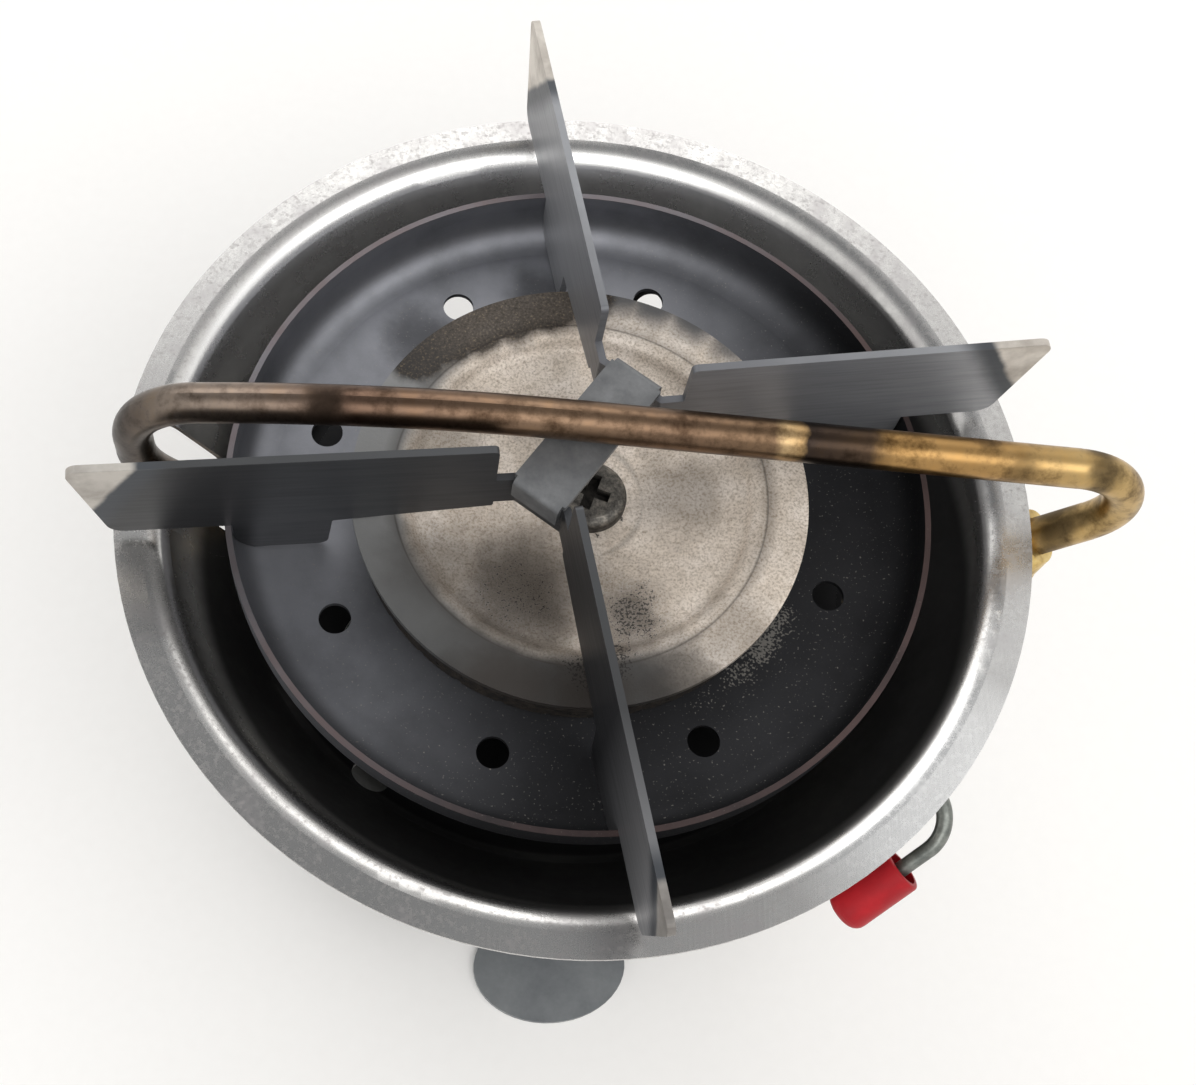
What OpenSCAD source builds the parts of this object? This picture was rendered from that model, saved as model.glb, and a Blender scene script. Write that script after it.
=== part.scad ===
// Single-burner liquid fuel camping stove: tank on three feet, pump, lever valve,
// generator tube looped over the burner, windshield bowl and a bent-strip grate.
// Millimetres, +Z up. The origin is on the floor under the burner's axis,
// +X points to the valve side and -Y to the side with the front foot.

/* [Tank and feet] */
// Outer radius of the tank
tank_r = 59.5; // [56:0.5:62]
// Thickness of the tank's sheet
tank_t = 1; // [0.8:0.1:1.4]
// Height of the tank's underside above the floor
tank_lift = 12; // [10:1:16]
// Height of the seam between the tank's two shells
seam_z = 36; // [32:1:38]
// Height of the flat of the tank's top
tank_top_z = 62; // [60:1:66]
// Radius of the tank's rounded shoulders
tank_bend_r = 9; // [7:0.5:10]
// Height of the raised seat in the middle of the tank's top
plateau_h = 3; // [2:0.5:4]
// Radius of that seat
plateau_r = 29; // [27:1:30]
// Distance of each foot pad's middle from the axis
foot_reach = 59.7; // [56:0.1:62]
// Width of a foot's oval pad, round the stove
pad_w = 33; // [28:0.5:38]
// Depth of the pad, outwards
pad_d = 24.2; // [20:0.2:28]
// Thickness of the feet's sheet
foot_t = 1.6; // [1.2:0.1:2]
// Width of a foot's strip
foot_w = 20; // [14:1:24]
// Direction of the front foot
foot_turn = -83.6; // [-90:0.1:-80]

/* [Windshield bowl] */
// Outer radius of the rim
rim_r = 80; // [78:1:84]
// Height of the rim above the floor
rim_z = 114; // [112:1:118]
// Width of the flat turned-out rim
rim_flat = 4.4; // [3:0.1:5]
// Radius from the rim into the wall
shoulder_r = 5.5; // [4:0.5:7]
// Slope of the wall
bowl_slope = 58.7; // [54:0.1:62]
// Radius from the wall into the bottom
bowl_bend_r = 9; // [6:0.5:11]
// Depth of the bowl
bowl_depth = 26; // [25:0.5:27]
// Thickness of the bowl's sheet
bowl_t = 0.8; // [0.6:0.1:1]
// Width of the slot that the generator passes through
slot_w = 19; // [16:0.5:22]
// Depth of that slot below the rim
slot_depth = 21.5; // [21.2:0.1:21.6]
// Number of air ports in the bowl's bottom
port_count = 6; // [3:1:6]
// Diameter of an air port
port_d = 13; // [8:0.5:14]

/* [Burner] */
// Outer radius of the burner dish
dish_r = 61.2; // [60:0.1:62]
// Height of the dish's edge above the rim
dish_lift = 3; // [2.5:0.1:3.5]
// Depth of the dish, with its sheet
dish_depth = 11; // [10.8:0.1:11.2]
// Thickness of the dish's sheet
dish_t = 1; // [0.8:0.1:1.2]
// Inner radius of the dish's turned-up edge
dish_bend_r = 6; // [5:0.5:6]
// Number of air holes in the dish
hole_count = 8; // [6:1:10]
// Diameter of an air hole
hole_d = 5.6; // [4:0.1:7]
// Radius of the circle of air holes
hole_ring_r = 46.8; // [46:0.1:50]
// Direction of the first air hole
hole_turn = -16; // [-20:0.25:20]
// Radius of the burner cap
cap_r = 39.7; // [38:0.1:41]
// Thickness of the cap's sheet
cap_t = 1.2; // [1:0.1:1.5]
// Slope of the cap's dish
cap_slope = 6; // [3:0.5:8]
// Length of that slope
cap_slope_run = 18; // [15:0.5:20]
// Outer radius of the burner rings
ring_out_r = 38.6; // [36:0.1:39]
// Inner radius of the burner rings
ring_in_r = 32.4; // [32.3:0.1:33]
// Thickness of a wavy ring
wavy_t = 1.8; // [1.4:0.1:2]
// Thickness of the flat ring
flat_t = 0.8; // [0.5:0.1:1]
// Number of waves round a wavy ring
wave_count = 30; // [18:1:36]
// Diameter of the cap screw's head
screw_head_d = 13; // [10:0.1:14]
// Height of the cap screw's head
screw_head_h = 3.2; // [2.4:0.1:3.6]

/* [Generator] */
// Outer diameter of the generator tube
tube_d = 6.8; // [6.4:0.1:7]
// Bore of the generator tube
tube_bore = 4.4; // [3:0.1:5]
// Height of the tube's highest centre above the rim
tube_lift = 21.2; // [21:0.1:22]
// Distance of the generator's plane from the burner's axis
gen_y = 3.7; // [3:0.1:4.5]
// Turn of the generator's plane about the vertical
gen_turn = -0.8; // [-1.5:0.1:1]
// Bend radius of the turned-down end
left_bend_r = 14.5; // [14:0.1:15]
// Distance from the axis to the centre of that bend
left_bend_x = 63; // [62:0.5:64]
// Straight drop between the two halves of that bend
hook_drop = 4.3; // [4:0.1:4.5]
// Bend radius of the loop on the valve side
right_bend_r = 12; // [11:0.1:13]
// Bend radius of the slight arch over the burner's left half
arch_r = 306; // [290:1:320]
// Rise of the tube where the arch begins
arch_up = 9.65; // [9:0.05:10]
// Fall of the tube where the arch ends
arch_down = 2.2; // [1:0.1:3]
// Straight run from the arch to the loop
top_run = 84.8; // [83:0.1:87]
// Steepness of the tube where it leaves the valve
leg_slope = 50.4; // [48:0.2:53]

/* [Valve and lever] */
// Distance of the valve from the axis
valve_x = 38; // [37:0.5:40]
// Height of the stem's axis
stem_z = 78; // [76:0.5:79]
// Direction of the stem
stem_turn = -50.8; // [-58:0.1:-45]
// Diameter of the stem
stem_d = 6; // [5:0.1:6.4]
// Length of the stem outside the valve's centre
stem_len = 38; // [34:0.5:42]
// Diameter of the lever's wire
wire_d = 3; // [2.4:0.1:3.4]
// Distance of the lever's corner from the valve
lever_out = 61; // [56:0.5:62]
// Turn of the lever's bend
lever_bend = -92.8; // [-98:0.1:-85]
// Bend radius of the lever's wire
lever_bend_r = 7.8; // [5:0.1:9]
// Length of the wire past the bend
lever_len = 19; // [18:0.5:26]
// Lever: how far it hangs below level at rest, in degrees
lever_dip = 35; // [0:1:60]
// Diameter of the lever's grip
grip_d = 9; // [8:0.1:10]
// Length of the grip
grip_len = 15; // [14:0.5:18]

/* [Pump and filler] */
// Tilt of the pump above the horizontal
pump_tilt = 30; // [28:1:34]
// Outer diameter of the pump's barrel
barrel_d = 16; // [14:0.5:17]
// Wall of the barrel
barrel_t = 0.8; // [0.6:0.1:1]
// Length of the barrel inside the tank
barrel_len = 66; // [60:1:68]
// Stroke of the pump
pump_stroke = 40; // [30:1:42]
// Diameter of the pump's rod
rod_d = 6; // [5:0.1:6.4]
// Diameter of the pump's knob
knob_d = 20; // [18:0.5:24]
// Height of the knob
knob_h = 10; // [8:0.5:12]
// Direction of the filler
filler_turn = 150; // [140:1:160]
// Tilt of the filler above the horizontal
filler_tilt = 45; // [40:1:50]
// Bore of the filler neck
filler_bore = 15; // [13:0.5:16]
// Diameter of the filler cap
filler_cap_d = 24; // [22.5:0.5:26]

/* [Grate] */
// Height of the grate's top above the rim
grate_lift = 25.8; // [25.5:0.1:28]
// Thickness of the grate's strips
strip_t = 1.3; // [1:0.1:1.5]
// Length of the two long arms from their bend
long_arm = 72.8; // [70:0.2:74]
// Length of the two short arms from their bend
short_arm = 66.2; // [64:0.2:68]
// Direction of the long arm beside the generator
long_side_turn = 187.1; // [184:0.1:190]
// Direction of the short arm beside the generator
short_side_turn = 9.2; // [6:0.1:12]
// Direction of the arms across the generator
cross_turn = 102.6; // [98:0.1:106]
// Length of the slanted corner of the long arms
long_corner_len = 9.9; // [9:0.1:12]
// Length of the slanted corner of the short arms
short_corner_len = 12.2; // [11:0.1:13]
// Direction of the slanted corners
corner_turn = -34.5; // [-38:0.1:-31]
// Rise of an arm's lower edge towards the middle
arm_rise = 3; // [1:0.1:4]
// Slant of an arm's outer end, top to bottom
end_slant = 5; // [3:0.1:7]
// Width of the strap that joins the strips
strap_w = 10.2; // [8:0.1:10.5]
// Thickness of that strap
strap_t = 1.2; // [1:0.1:1.4]

/* [Hidden] */
$fn = 64;

// Clearances
seat = 0.05;        // pieces that are brazed, pressed or screwed together
running = 0.06;     // radial play of a turning or sliding shaft
free_gap = 0.4;     // pieces that move past each other
sheet_lap = 0.05;   // overlap of the lengths that make one sheet
bend_swell = 0.01;  // a bent sheet's swelling on both faces
drawn_lap = 0.2;    // the same two for the drawn tank top
drawn_swell = 0.04;
wall_thin = 0.2;    // what drawing takes off each face of the tank top's wall
joint_lap = 0.4;    // overlap of the lengths that make one tube
joint_swell = 0.03; // a bent tube's swelling at every second length

// Heights
bowl_floor_z = rim_z - bowl_depth;
bowl_under_z = bowl_floor_z - bowl_t;
dish_top_z = rim_z + dish_lift;
dish_z = dish_top_z - dish_depth;
dish_floor_z = dish_z + dish_t;
collar_h = 1.6;
stack_z = dish_floor_z + collar_h;
ring_pitch = wavy_t + flat_t + 2 * seat;
cap_flange_z = stack_z + 2 * ring_pitch + wavy_t + 2 * seat;
plateau_z = tank_top_z + plateau_h;
grate_top_z = rim_z + grate_lift;
tube_top_z = rim_z + tube_lift;

// Tank sheets: each step is [length, 0] for a straight, which may go on with what is taken
// off each face, or [inner radius, turn] for a bend
rim_bend_r = 0.6;
seam_w = 1.6;
lip_bend_r = 0.15;
press_r = 2;
press_turn = 45;
press_run = (plateau_h - (2 * press_r + tank_t) * (1 - cos(press_turn))) / sin(press_turn);
press_w = (2 * press_r + tank_t) * sin(press_turn) + press_run * cos(press_turn);
wall_top = tank_top_z - tank_t - tank_bend_r;
top_steps = [[plateau_r, 0], [press_r, -press_turn], [press_run, 0], [press_r, press_turn],
    [tank_r - tank_t - tank_bend_r - plateau_r - press_w, 0], [tank_bend_r, -90],
    [wall_top - seam_z - rim_bend_r - tank_t, 0, wall_thin], [rim_bend_r, 90], [seam_w, 0]];
recess_r = 14;
bottom_steps = [[recess_r, 0], [press_r, -press_turn], [press_run, 0], [press_r, press_turn],
    [tank_r - tank_t - tank_bend_r - recess_r - press_w, 0], [tank_bend_r, 90],
    [seam_z - seat - tank_lift - 2 * tank_t - tank_bend_r - rim_bend_r, 0], [rim_bend_r, -90],
    [seam_w + seat, 0], [lip_bend_r, 90], [tank_t + 3 * seat - 2 * lip_bend_r, 0], [lip_bend_r, 90],
    [seam_w / 2, 0]];
shoulder_c = [tank_r - tank_t - tank_bend_r, tank_top_z - tank_t - tank_bend_r];
shoulder_out_r = tank_bend_r + tank_t;

// Bowl sheet, from the rim inwards
bowl_run = (bowl_depth - (shoulder_r + bowl_bend_r) * (1 - cos(bowl_slope))) / sin(bowl_slope);
bowl_hub_r = 12;
vent_d = 7;         // air vents in the bowl's lower bend, in three pairs
vent_turn = 93.5;
vent_spread = 20;
bowl_flat_r = rim_r - rim_flat - (shoulder_r + bowl_bend_r) * sin(bowl_slope) - bowl_run * cos(bowl_slope);
bowl_steps = [[rim_flat, 0], [shoulder_r - bowl_t, bowl_slope], [bowl_run, 0],
    [bowl_bend_r, -bowl_slope], [bowl_flat_r - bowl_hub_r, 0]];
port_ring_r = 39;

// Burner dish and cap sheets, from the inside outwards
dish_in_r = 36.3;
dish_steps = [[dish_r - dish_in_r - dish_bend_r - dish_t, 0], [dish_bend_r, 90],
    [dish_depth - dish_t - dish_bend_r, 0]];
cap_bore_r = 3.3;
screw_at = [1.8, 0.2];
cap_seat_r = 9.4;
cap_rise_steps = [[cap_seat_r, 0], [4, cap_slope], [cap_slope_run, 0],
    [2.4, 50 - cap_slope], [0.8, 0], [1.6, -50]];
cap_rise_end = path_end(cap_rise_steps, cap_t);
cap_steps = concat(cap_rise_steps, [[cap_r - cap_rise_end.x, 0]]);
cap_seat_z = cap_flange_z - cap_rise_end.y;
post_top_z = cap_seat_z - 0.3;
base_flange_r = 41.5;
base_flange_t = 2;
base_foot_r = 22;
base_foot_h = 4;
base_wall = 3;
post_r = 5.5;
screw_r = 2.95;
screw_len = 14;
pedestal_r = 23.2;
pedestal_t = 1.2;
pedestal_flange_r = 28;
screw_ring_r = 17;
small_screw_r = 1.7;
small_head_r = 3.2;
small_head_h = 2.2;

// Generator path in its own plane: x outwards along the plane, y up
tube_r = tube_d / 2;
tube_low_z = tube_top_z - left_bend_r * (1 + cos(arch_up)) - arch_r * (1 - cos(arch_up)) - hook_drop;
jet_run = 9.5;
tube_start = [jet_run - left_bend_x, tube_low_z];
loop_steps = [[jet_run, 0], [left_bend_r, -90], [hook_drop, 0], [left_bend_r, arch_up - 90],
    [arch_r, -arch_up - arch_down], [top_run, 0], [right_bend_r, arch_down - 180 + leg_slope]];
loop_end = tube_start + turned(path_end(loop_steps, 0), 180);
leg_dir = [cos(leg_slope), sin(leg_slope)];
leg_len = (loop_end.y - stem_z) / leg_dir.y;
elbow_x = loop_end.x - leg_len * leg_dir.x;
port_r = 4.8;
tube_in_port = 6;
nut_af = 14.2;
nut_h = 8;
nut_neck_h = 4.5;
nut_neck_r = 5;
nut_lap = 4;
nut_drop = 10;
nut_pos = leg_len - nut_drop - nut_neck_h - nut_h;
port_len = nut_pos + nut_lap;
tube_steps = concat(loop_steps, [[leg_len - port_len + tube_in_port, 0]]);
mixer_r = 6;
mixer_bore_r = 5;
mixer_mouth_r = 7.8;
mixer_len = 30;
mixer_in_socket = 18;
mixer_x = -46;
socket_wall = 1.8;

// Valve
nipple_r = 4.9;
nipple_len = 8;
pickup_r = 2.4;
passage_r = 2.2;
riser_r = 6.2;
chamber_r = 7;
arm_r = 5;
valve_base_h = 4;
gland_s = 12;
gland_len = 4;
gland_r = 5.4;
packing_len = 2;
packing_nut_len = 8.7;
packing_nut_af = 13;
stem_r = stem_d / 2;
wire_r = wire_d / 2;
wire_socket = 8;
stem_hub_r = 4;
stem_hub_len = 11;

// Pump and filler
barrel_r = barrel_d / 2;
barrel_out = 5;
collar_r = barrel_r + 2.5;
barrel_cap_r = collar_r + 1.6;
barrel_cap_end = barrel_out + 3.5;
rod_r = rod_d / 2;
cup_h = 8;
cup_wall = 1.4;
retainer_h = 2;
check_len = 8;
cup_z = retainer_h + check_len + 1 - barrel_len;
ball_r = 2;
ball_play = 0.3;
ball_travel = 1.5;
filler_r = filler_bore / 2;
filler_out_r = filler_r + 1.6;
filler_out = 10;
filler_in = 4;
gasket_t = 1.6;

// Grate
arm_low_z = dish_top_z + seat;
neck_low_z = arm_low_z + 4.4;
tube_fall = 0.7;    // how far the tube comes down where it leaves the strap
neck_top_z = tube_top_z - tube_r - tube_fall - free_gap - strap_t;
neck_len = 3.8;
tab_low_z = dish_floor_z + 0.9;
tab_gap = 0.3;
tab_in_r = cap_r + 3.4;
long_corner = [-11.6, -4.4];
short_corner = [12.1, 11.65];
strap_lip = 4;
strap_bend_r = 0.15;
strap_lip_w = long_corner_len - 0.8;

// Plane vector and outline helpers
function turned(v, a) = [v.x * cos(a) - v.y * sin(a), v.x * sin(a) + v.y * cos(a)];
function unit(a) = [cos(a), sin(a)];

// End point of one step of a path; a left bend is measured on its outer face
function step_end(s, t) = s[1] == 0 ? [s[0], 0]
    : s[1] > 0 ? (s[0] + t) * [sin(s[1]), 1 - cos(s[1])]
    : s[0] * [sin(-s[1]), cos(s[1]) - 1];

// End point of a whole path
function path_end(steps, t, i = 0, p = [0, 0], a = 0) = i == len(steps) ? p
    : path_end(steps, t, i + 1, p + turned(step_end(steps[i], t), a), a + steps[i][1]);

// Outline with each corner [x, y, radius] rounded by an arc
function rounded(c) = [for (i = [0:len(c) - 1]) each round_corner(
    [c[i].x, c[i].y], c[i][2],
    [c[(i + len(c) - 1) % len(c)].x, c[(i + len(c) - 1) % len(c)].y],
    [c[(i + 1) % len(c)].x, c[(i + 1) % len(c)].y])];
function round_corner(p, r, before, after) = r == 0 ? [p] :
    let (a = (before - p) / norm(before - p), b = (after - p) / norm(after - p),
        half = acos(a * b) / 2, mid = (a + b) / norm(a + b), c = p + mid * r / sin(half),
        start = a * r / tan(half) + p - c, span = 180 - 2 * half,
        side = sign(a.x * b.y - a.y * b.x))
    [for (k = [0:6]) c + turned(start, -side * span * k / 6)];

// Distance along a line from p in direction a to the circle of radius r about the axis
function along_to(p, a, r) = let (d = unit(a), k = p * d) sqrt(k * k - p * p + r * r) - k;

// Slice of a pie, for cutting an arc out of a ring
module wedge(r, a0, a1) {
    polygon([[0, 0], r * unit(a0), r * 1.5 * unit((a0 + a1) / 2), r * unit(a1)]);
}

// Sheet of thickness t drawn along a path, on the left of it
module sheet(steps, t, lap = sheet_lap, swell = bend_swell, i = 0) {
    if (i < len(steps)) {
        s = steps[i];
        if (s[1] == 0) {
            before = i > 0 ? lap : 0;
            after = i < len(steps) - 1 ? lap : 0;
            thin = len(s) > 2 ? s[2] : 0;
            translate([-before, thin]) square([s[0] + before + after, t - 2 * thin]);
            translate([s[0], 0]) sheet(steps, t, lap, swell, i + 1);
        } else {
            centre = s[1] > 0 ? [0, s[0] + t] : [0, -s[0]];
            start = s[1] > 0 ? -90 : 90;
            translate(centre) intersection() {
                ring_face(s[0] + t + swell, s[0] - swell);
                wedge(2 * (s[0] + t), start, start + s[1]);
            }
            translate(centre) rotate(s[1]) translate(-centre) sheet(steps, t, lap, swell, i + 1);
        }
    }
}

// Round rod along a path in the X-Y plane; every second length is a hair thicker and
// takes in the ends of the lengths beside it
module tube_path(steps, r, i = 0) {
    if (i < len(steps)) {
        s = steps[i];
        before = i % 2 == 0 && i > 0 ? joint_lap : 0;
        after = i % 2 == 0 && i < len(steps) - 1 ? joint_lap : 0;
        body_r = i % 2 == 0 ? r : r + joint_swell;
        if (s[1] == 0) {
            translate([-before, 0, 0]) rotate([0, 90, 0]) cylinder(r = body_r, h = s[0] + before + after);
            translate([s[0], 0, 0]) tube_path(steps, r, i + 1);
        } else {
            side = sign(s[1]);
            extra = [before, after] * 180 / PI / s[0];
            translate([0, side * s[0], 0]) {
                rotate(side > 0 ? -90 - extra[0] : 90 + s[1] - extra[1])
                    rotate_extrude(angle = abs(s[1]) + extra[0] + extra[1], $fn = 72 + s[0])
                        translate([s[0], 0]) circle(body_r, $fn = 32);
                rotate(s[1]) translate([0, -side * s[0], 0]) tube_path(steps, r, i + 1);
            }
        }
    }
}

module ring_face(r, bore) {
    difference() {
        circle(r);
        circle(bore);
    }
}

module ring(r, bore, h) {
    linear_extrude(h) ring_face(r, bore);
}

module hex(af, h) {
    cylinder(r = af / sqrt(3), h = h, $fn = 6);
}

// Hex nut with its outer corners turned off by a cone
module turned_hex(af, h) {
    corner_r = af / sqrt(3);
    intersection() {
        hex(af, h);
        cylinder(r1 = corner_r + h, r2 = af / 2 + 0.1, h = h);
    }
}

// Frames: each puts its own +Z, or X-Z plane, where the piece works
module in_generator() {
    translate([0, gen_y, 0]) rotate(gen_turn) children();
}

module aimed(p, slope) {
    translate([p.x, 0, p.y]) rotate([0, 90 - slope, 0]) children();
}

module in_stem() {
    in_generator() translate([valve_x, 0, stem_z]) rotate(stem_turn) rotate([0, 90, 0]) children();
}

module on_shoulder(turn, tilt) {
    rotate(turn) aimed(shoulder_c + shoulder_out_r * unit(tilt), tilt) children();
}

module in_pump() {
    on_shoulder(90, pump_tilt) children();
}

module in_filler() {
    on_shoulder(filler_turn, filler_tilt) children();
}

// Tank and feet
module tank_bottom() {
    color("darkolivegreen") rotate_extrude()
        translate([0, tank_lift + plateau_h]) sheet(bottom_steps, tank_t);
}

module tank_top() {
    color("darkolivegreen") difference() {
        rotate_extrude() translate([0, plateau_z - tank_t])
            sheet(top_steps, tank_t, drawn_lap, drawn_swell);
        in_generator() translate([valve_x, 0, seam_z]) cylinder(r = nipple_r + seat, h = tank_top_z);
        in_pump() translate([0, 0, -tank_bend_r]) cylinder(r = barrel_r + seat, h = 2 * tank_bend_r);
        in_filler() translate([0, 0, -tank_bend_r]) cylinder(r = filler_out_r + seat, h = 2 * tank_bend_r);
    }
}

module foot(turn) {
    lean = 78;
    bend = 2;
    flange = 14;
    drop = tank_lift - seat - foot_t;
    rise = (drop - (2 * bend + foot_t) * (1 - cos(lean))) / sin(lean);
    steps = [[flange, 0], [bend, -lean], [rise, 0], [bend, lean], [pad_d / 2, 0]];
    end = path_end(steps, foot_t);
    start_r = foot_reach - end.x;
    oval = [for (a = [0:7.5:352.5]) [pad_d / 2 * cos(a), pad_w / 2 * sin(a)]];
    color("dimgray") rotate(turn) {
        translate([start_r, foot_w / 2, drop]) rotate([90, 0, 0])
            linear_extrude(foot_w) sheet(steps, foot_t);
        translate([foot_reach, 0, 0]) linear_extrude(foot_t) polygon(oval);
    }
}

module foot_front() {
    foot(foot_turn);
}

module foot_right() {
    foot(foot_turn + 120);
}

module foot_left() {
    foot(foot_turn + 240);
}

// Pedestal between the tank and the bowl
module pedestal() {
    window_h = bowl_under_z - plateau_z - 9;
    color("gray") difference() {
        rotate_extrude() {
            translate([pedestal_r - pedestal_t, plateau_z + seat])
                square([pedestal_flange_r - pedestal_r + pedestal_t, pedestal_t]);
            translate([pedestal_r - pedestal_t, plateau_z + seat])
                square([pedestal_t, bowl_under_z - plateau_z - 2 * seat]);
            translate([bowl_hub_r, bowl_under_z - seat - pedestal_t])
                square([pedestal_r - bowl_hub_r, pedestal_t]);
        }
        for (k = [0:2]) rotate(60 + 120 * k) translate([pedestal_r, 0, plateau_z + 5 + window_h / 2])
            rotate([0, 90, 0]) linear_extrude(pedestal_r, center = true)
                polygon(rounded([[window_h / 2, 16, 3], [window_h / 2, -16, 3],
                    [-window_h / 2, -16, 3], [-window_h / 2, 16, 3]]));
        small_screw_holes();
    }
}

module small_screw_holes() {
    for (k = [0:2]) rotate(120 * k) translate([screw_ring_r, 0, bowl_under_z - 2 * small_head_h])
        cylinder(r = small_screw_r + seat, h = base_foot_h + 2 * small_head_h);
}

module pedestal_screws() {
    head_z = bowl_under_z - pedestal_t - 2 * seat - small_head_h;
    color("silver") for (k = [0:2]) rotate(120 * k) translate([screw_ring_r, 0, head_z]) difference() {
        union() {
            cylinder(r = small_head_r, h = small_head_h);
            cylinder(r = small_screw_r, h = bowl_floor_z + base_foot_h - 1.2 - head_z);
        }
        translate([-small_head_r, -0.4, -1]) cube([2 * small_head_r, 0.8, 2]);
    }
}

// Windshield bowl with the generator's slot
module windshield_bowl() {
    color("gainsboro") difference() {
        rotate_extrude() translate([rim_r, rim_z]) rotate(180) sheet(bowl_steps, bowl_t);
        translate([-rim_r, 0, rim_z - slot_depth + slot_w / 2]) rotate([0, 90, 0])
            linear_extrude(0.6 * rim_r, center = true) {
                circle(d = slot_w);
                translate([-slot_depth, -slot_w / 2]) square([slot_depth, slot_w]);
            }
        for (k = [0:port_count - 1]) rotate(360 / port_count * (k + 0.5))
            translate([port_ring_r, 0, bowl_under_z - 1]) cylinder(d = port_d, h = bowl_t + 2);
        for (a = [vent_turn : 120 : vent_turn + 240], side = [-1, 1]) rotate(a + side * vent_spread)
            translate([bowl_flat_r, 0, bowl_floor_z + bowl_bend_r]) rotate([0, 180 - bowl_slope / 2, 0])
                cylinder(d = vent_d, h = 2 * bowl_bend_r);
        small_screw_holes();
    }
}

// Burner base casting: foot, flared cup, dish seat, ring collar, inlet socket and screw post
module burner_base() {
    cup_low_r = 18;
    cup_z = bowl_floor_z + base_foot_h;
    flange_z = dish_z - base_flange_t - seat;
    color("dimgray") difference() {
        union() {
            difference() {
                union() {
                    translate([0, 0, bowl_floor_z + seat]) cylinder(r = base_foot_r, h = base_foot_h);
                    translate([0, 0, cup_z]) cylinder(r1 = cup_low_r, r2 = dish_in_r, h = flange_z - cup_z);
                    translate([0, 0, flange_z]) cylinder(r = base_flange_r, h = base_flange_t);
                    translate([0, 0, flange_z]) cylinder(r = dish_in_r - seat, h = stack_z - flange_z);
                    in_generator() aimed([mixer_x + mixer_len - mixer_in_socket, tube_low_z], 0)
                        cylinder(r = mixer_r + socket_wall, h = mixer_in_socket);
                }
                translate([0, 0, cup_z + base_wall])
                    cylinder(r1 = cup_low_r - base_wall, r2 = ring_in_r, h = stack_z - cup_z - base_wall);
            }
            translate([screw_at.x, screw_at.y, cup_z]) cylinder(r = post_r, h = post_top_z - cup_z);
        }
        in_generator() aimed([mixer_x, tube_low_z], 0)
            cylinder(r = mixer_r + seat, h = mixer_len + seat);
        translate([screw_at.x, screw_at.y, post_top_z - screw_len])
            cylinder(r = screw_r + seat, h = screw_len + 1);
        small_screw_holes();
    }
}

// Mixing tube with a bell mouth in front of the jet
module mixing_tube() {
    flare = mixer_mouth_r - mixer_r;
    color("gray") in_generator() aimed([mixer_x, tube_low_z], 0) rotate_extrude() {
        translate([mixer_bore_r, 2 * flare]) square([mixer_r - mixer_bore_r, mixer_len - 2 * flare]);
        polygon([[mixer_bore_r, 2 * flare + sheet_lap], [mixer_bore_r + flare, 0],
            [mixer_mouth_r, 0], [mixer_r, 2 * flare + sheet_lap]]);
    }
}

// Burner dish with its circle of air holes
module burner_dish() {
    color("darkslategray") difference() {
        rotate_extrude() translate([dish_in_r, dish_z]) sheet(dish_steps, dish_t);
        for (k = [0:hole_count - 1]) rotate(hole_turn + 360 / hole_count * k)
            translate([hole_ring_r, 0, dish_z - 1]) cylinder(d = hole_d, h = dish_t + 2);
    }
}

// One wavy ring: grooves run through it on both faces, half a wave apart
module wavy_ring(level) {
    groove_r = wavy_t * 0.36;
    translate([0, 0, stack_z + seat + level * ring_pitch]) difference() {
        ring(ring_out_r, ring_in_r, wavy_t);
        for (k = [0:2 * wave_count - 1]) rotate(180 / wave_count * k)
            translate([ring_in_r - 1, 0, k % 2 == 0 ? 0 : wavy_t]) rotate([0, 90, 0])
                cylinder(r = groove_r, h = ring_out_r - ring_in_r + 2, $fn = 16);
    }
}

module wavy_ring_low() {
    color("black") wavy_ring(0);
}

module wavy_ring_middle() {
    color("black") wavy_ring(1);
}

module wavy_ring_top() {
    color("black") wavy_ring(2);
}

// Flat ring that lies on the wavy ring of the same level
module flat_ring(level) {
    translate([0, 0, stack_z + 2 * seat + wavy_t + level * ring_pitch])
        ring(ring_out_r, ring_in_r, flat_t);
}

module flat_ring_low() {
    color("black") flat_ring(0);
}

module flat_ring_top() {
    color("black") flat_ring(1);
}

// Burner cap: dished sheet with a flat seat for the screw, which sits a little off the axis
module burner_cap() {
    color("tan") difference() {
        rotate_extrude() translate([0, cap_seat_z]) sheet(cap_steps, cap_t);
        translate([screw_at.x, screw_at.y, cap_seat_z - 1]) cylinder(r = cap_bore_r, h = cap_t + 2);
    }
}

// Pan-head screw with a cross recess
module cap_screw() {
    head_z = cap_seat_z + cap_t + seat;
    head_r = screw_head_d / 2;
    color("darkgray") translate([screw_at.x, screw_at.y, 0]) difference() {
        union() {
            translate([0, 0, head_z]) rotate_extrude() polygon(concat([[0, 0]],
                rounded([[head_r, 0, 0], [head_r, screw_head_h, 2], [0, screw_head_h, 0]])));
            translate([0, 0, post_top_z - screw_len + 2]) cylinder(r = screw_r, h = head_z - post_top_z + screw_len);
        }
        for (a = [72, 162]) rotate(a) translate([-3.4, -0.95, head_z + 1]) cube([6.8, 1.9, screw_head_h]);
    }
}

// Generator: looped tube, jam nut and jet
module generator_tube() {
    color("peru") in_generator() rotate([90, 0, 0]) translate(tube_start) rotate(180) difference() {
        tube_path(tube_steps, tube_r);
        tube_path(tube_steps, tube_bore / 2);
    }
}

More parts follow.
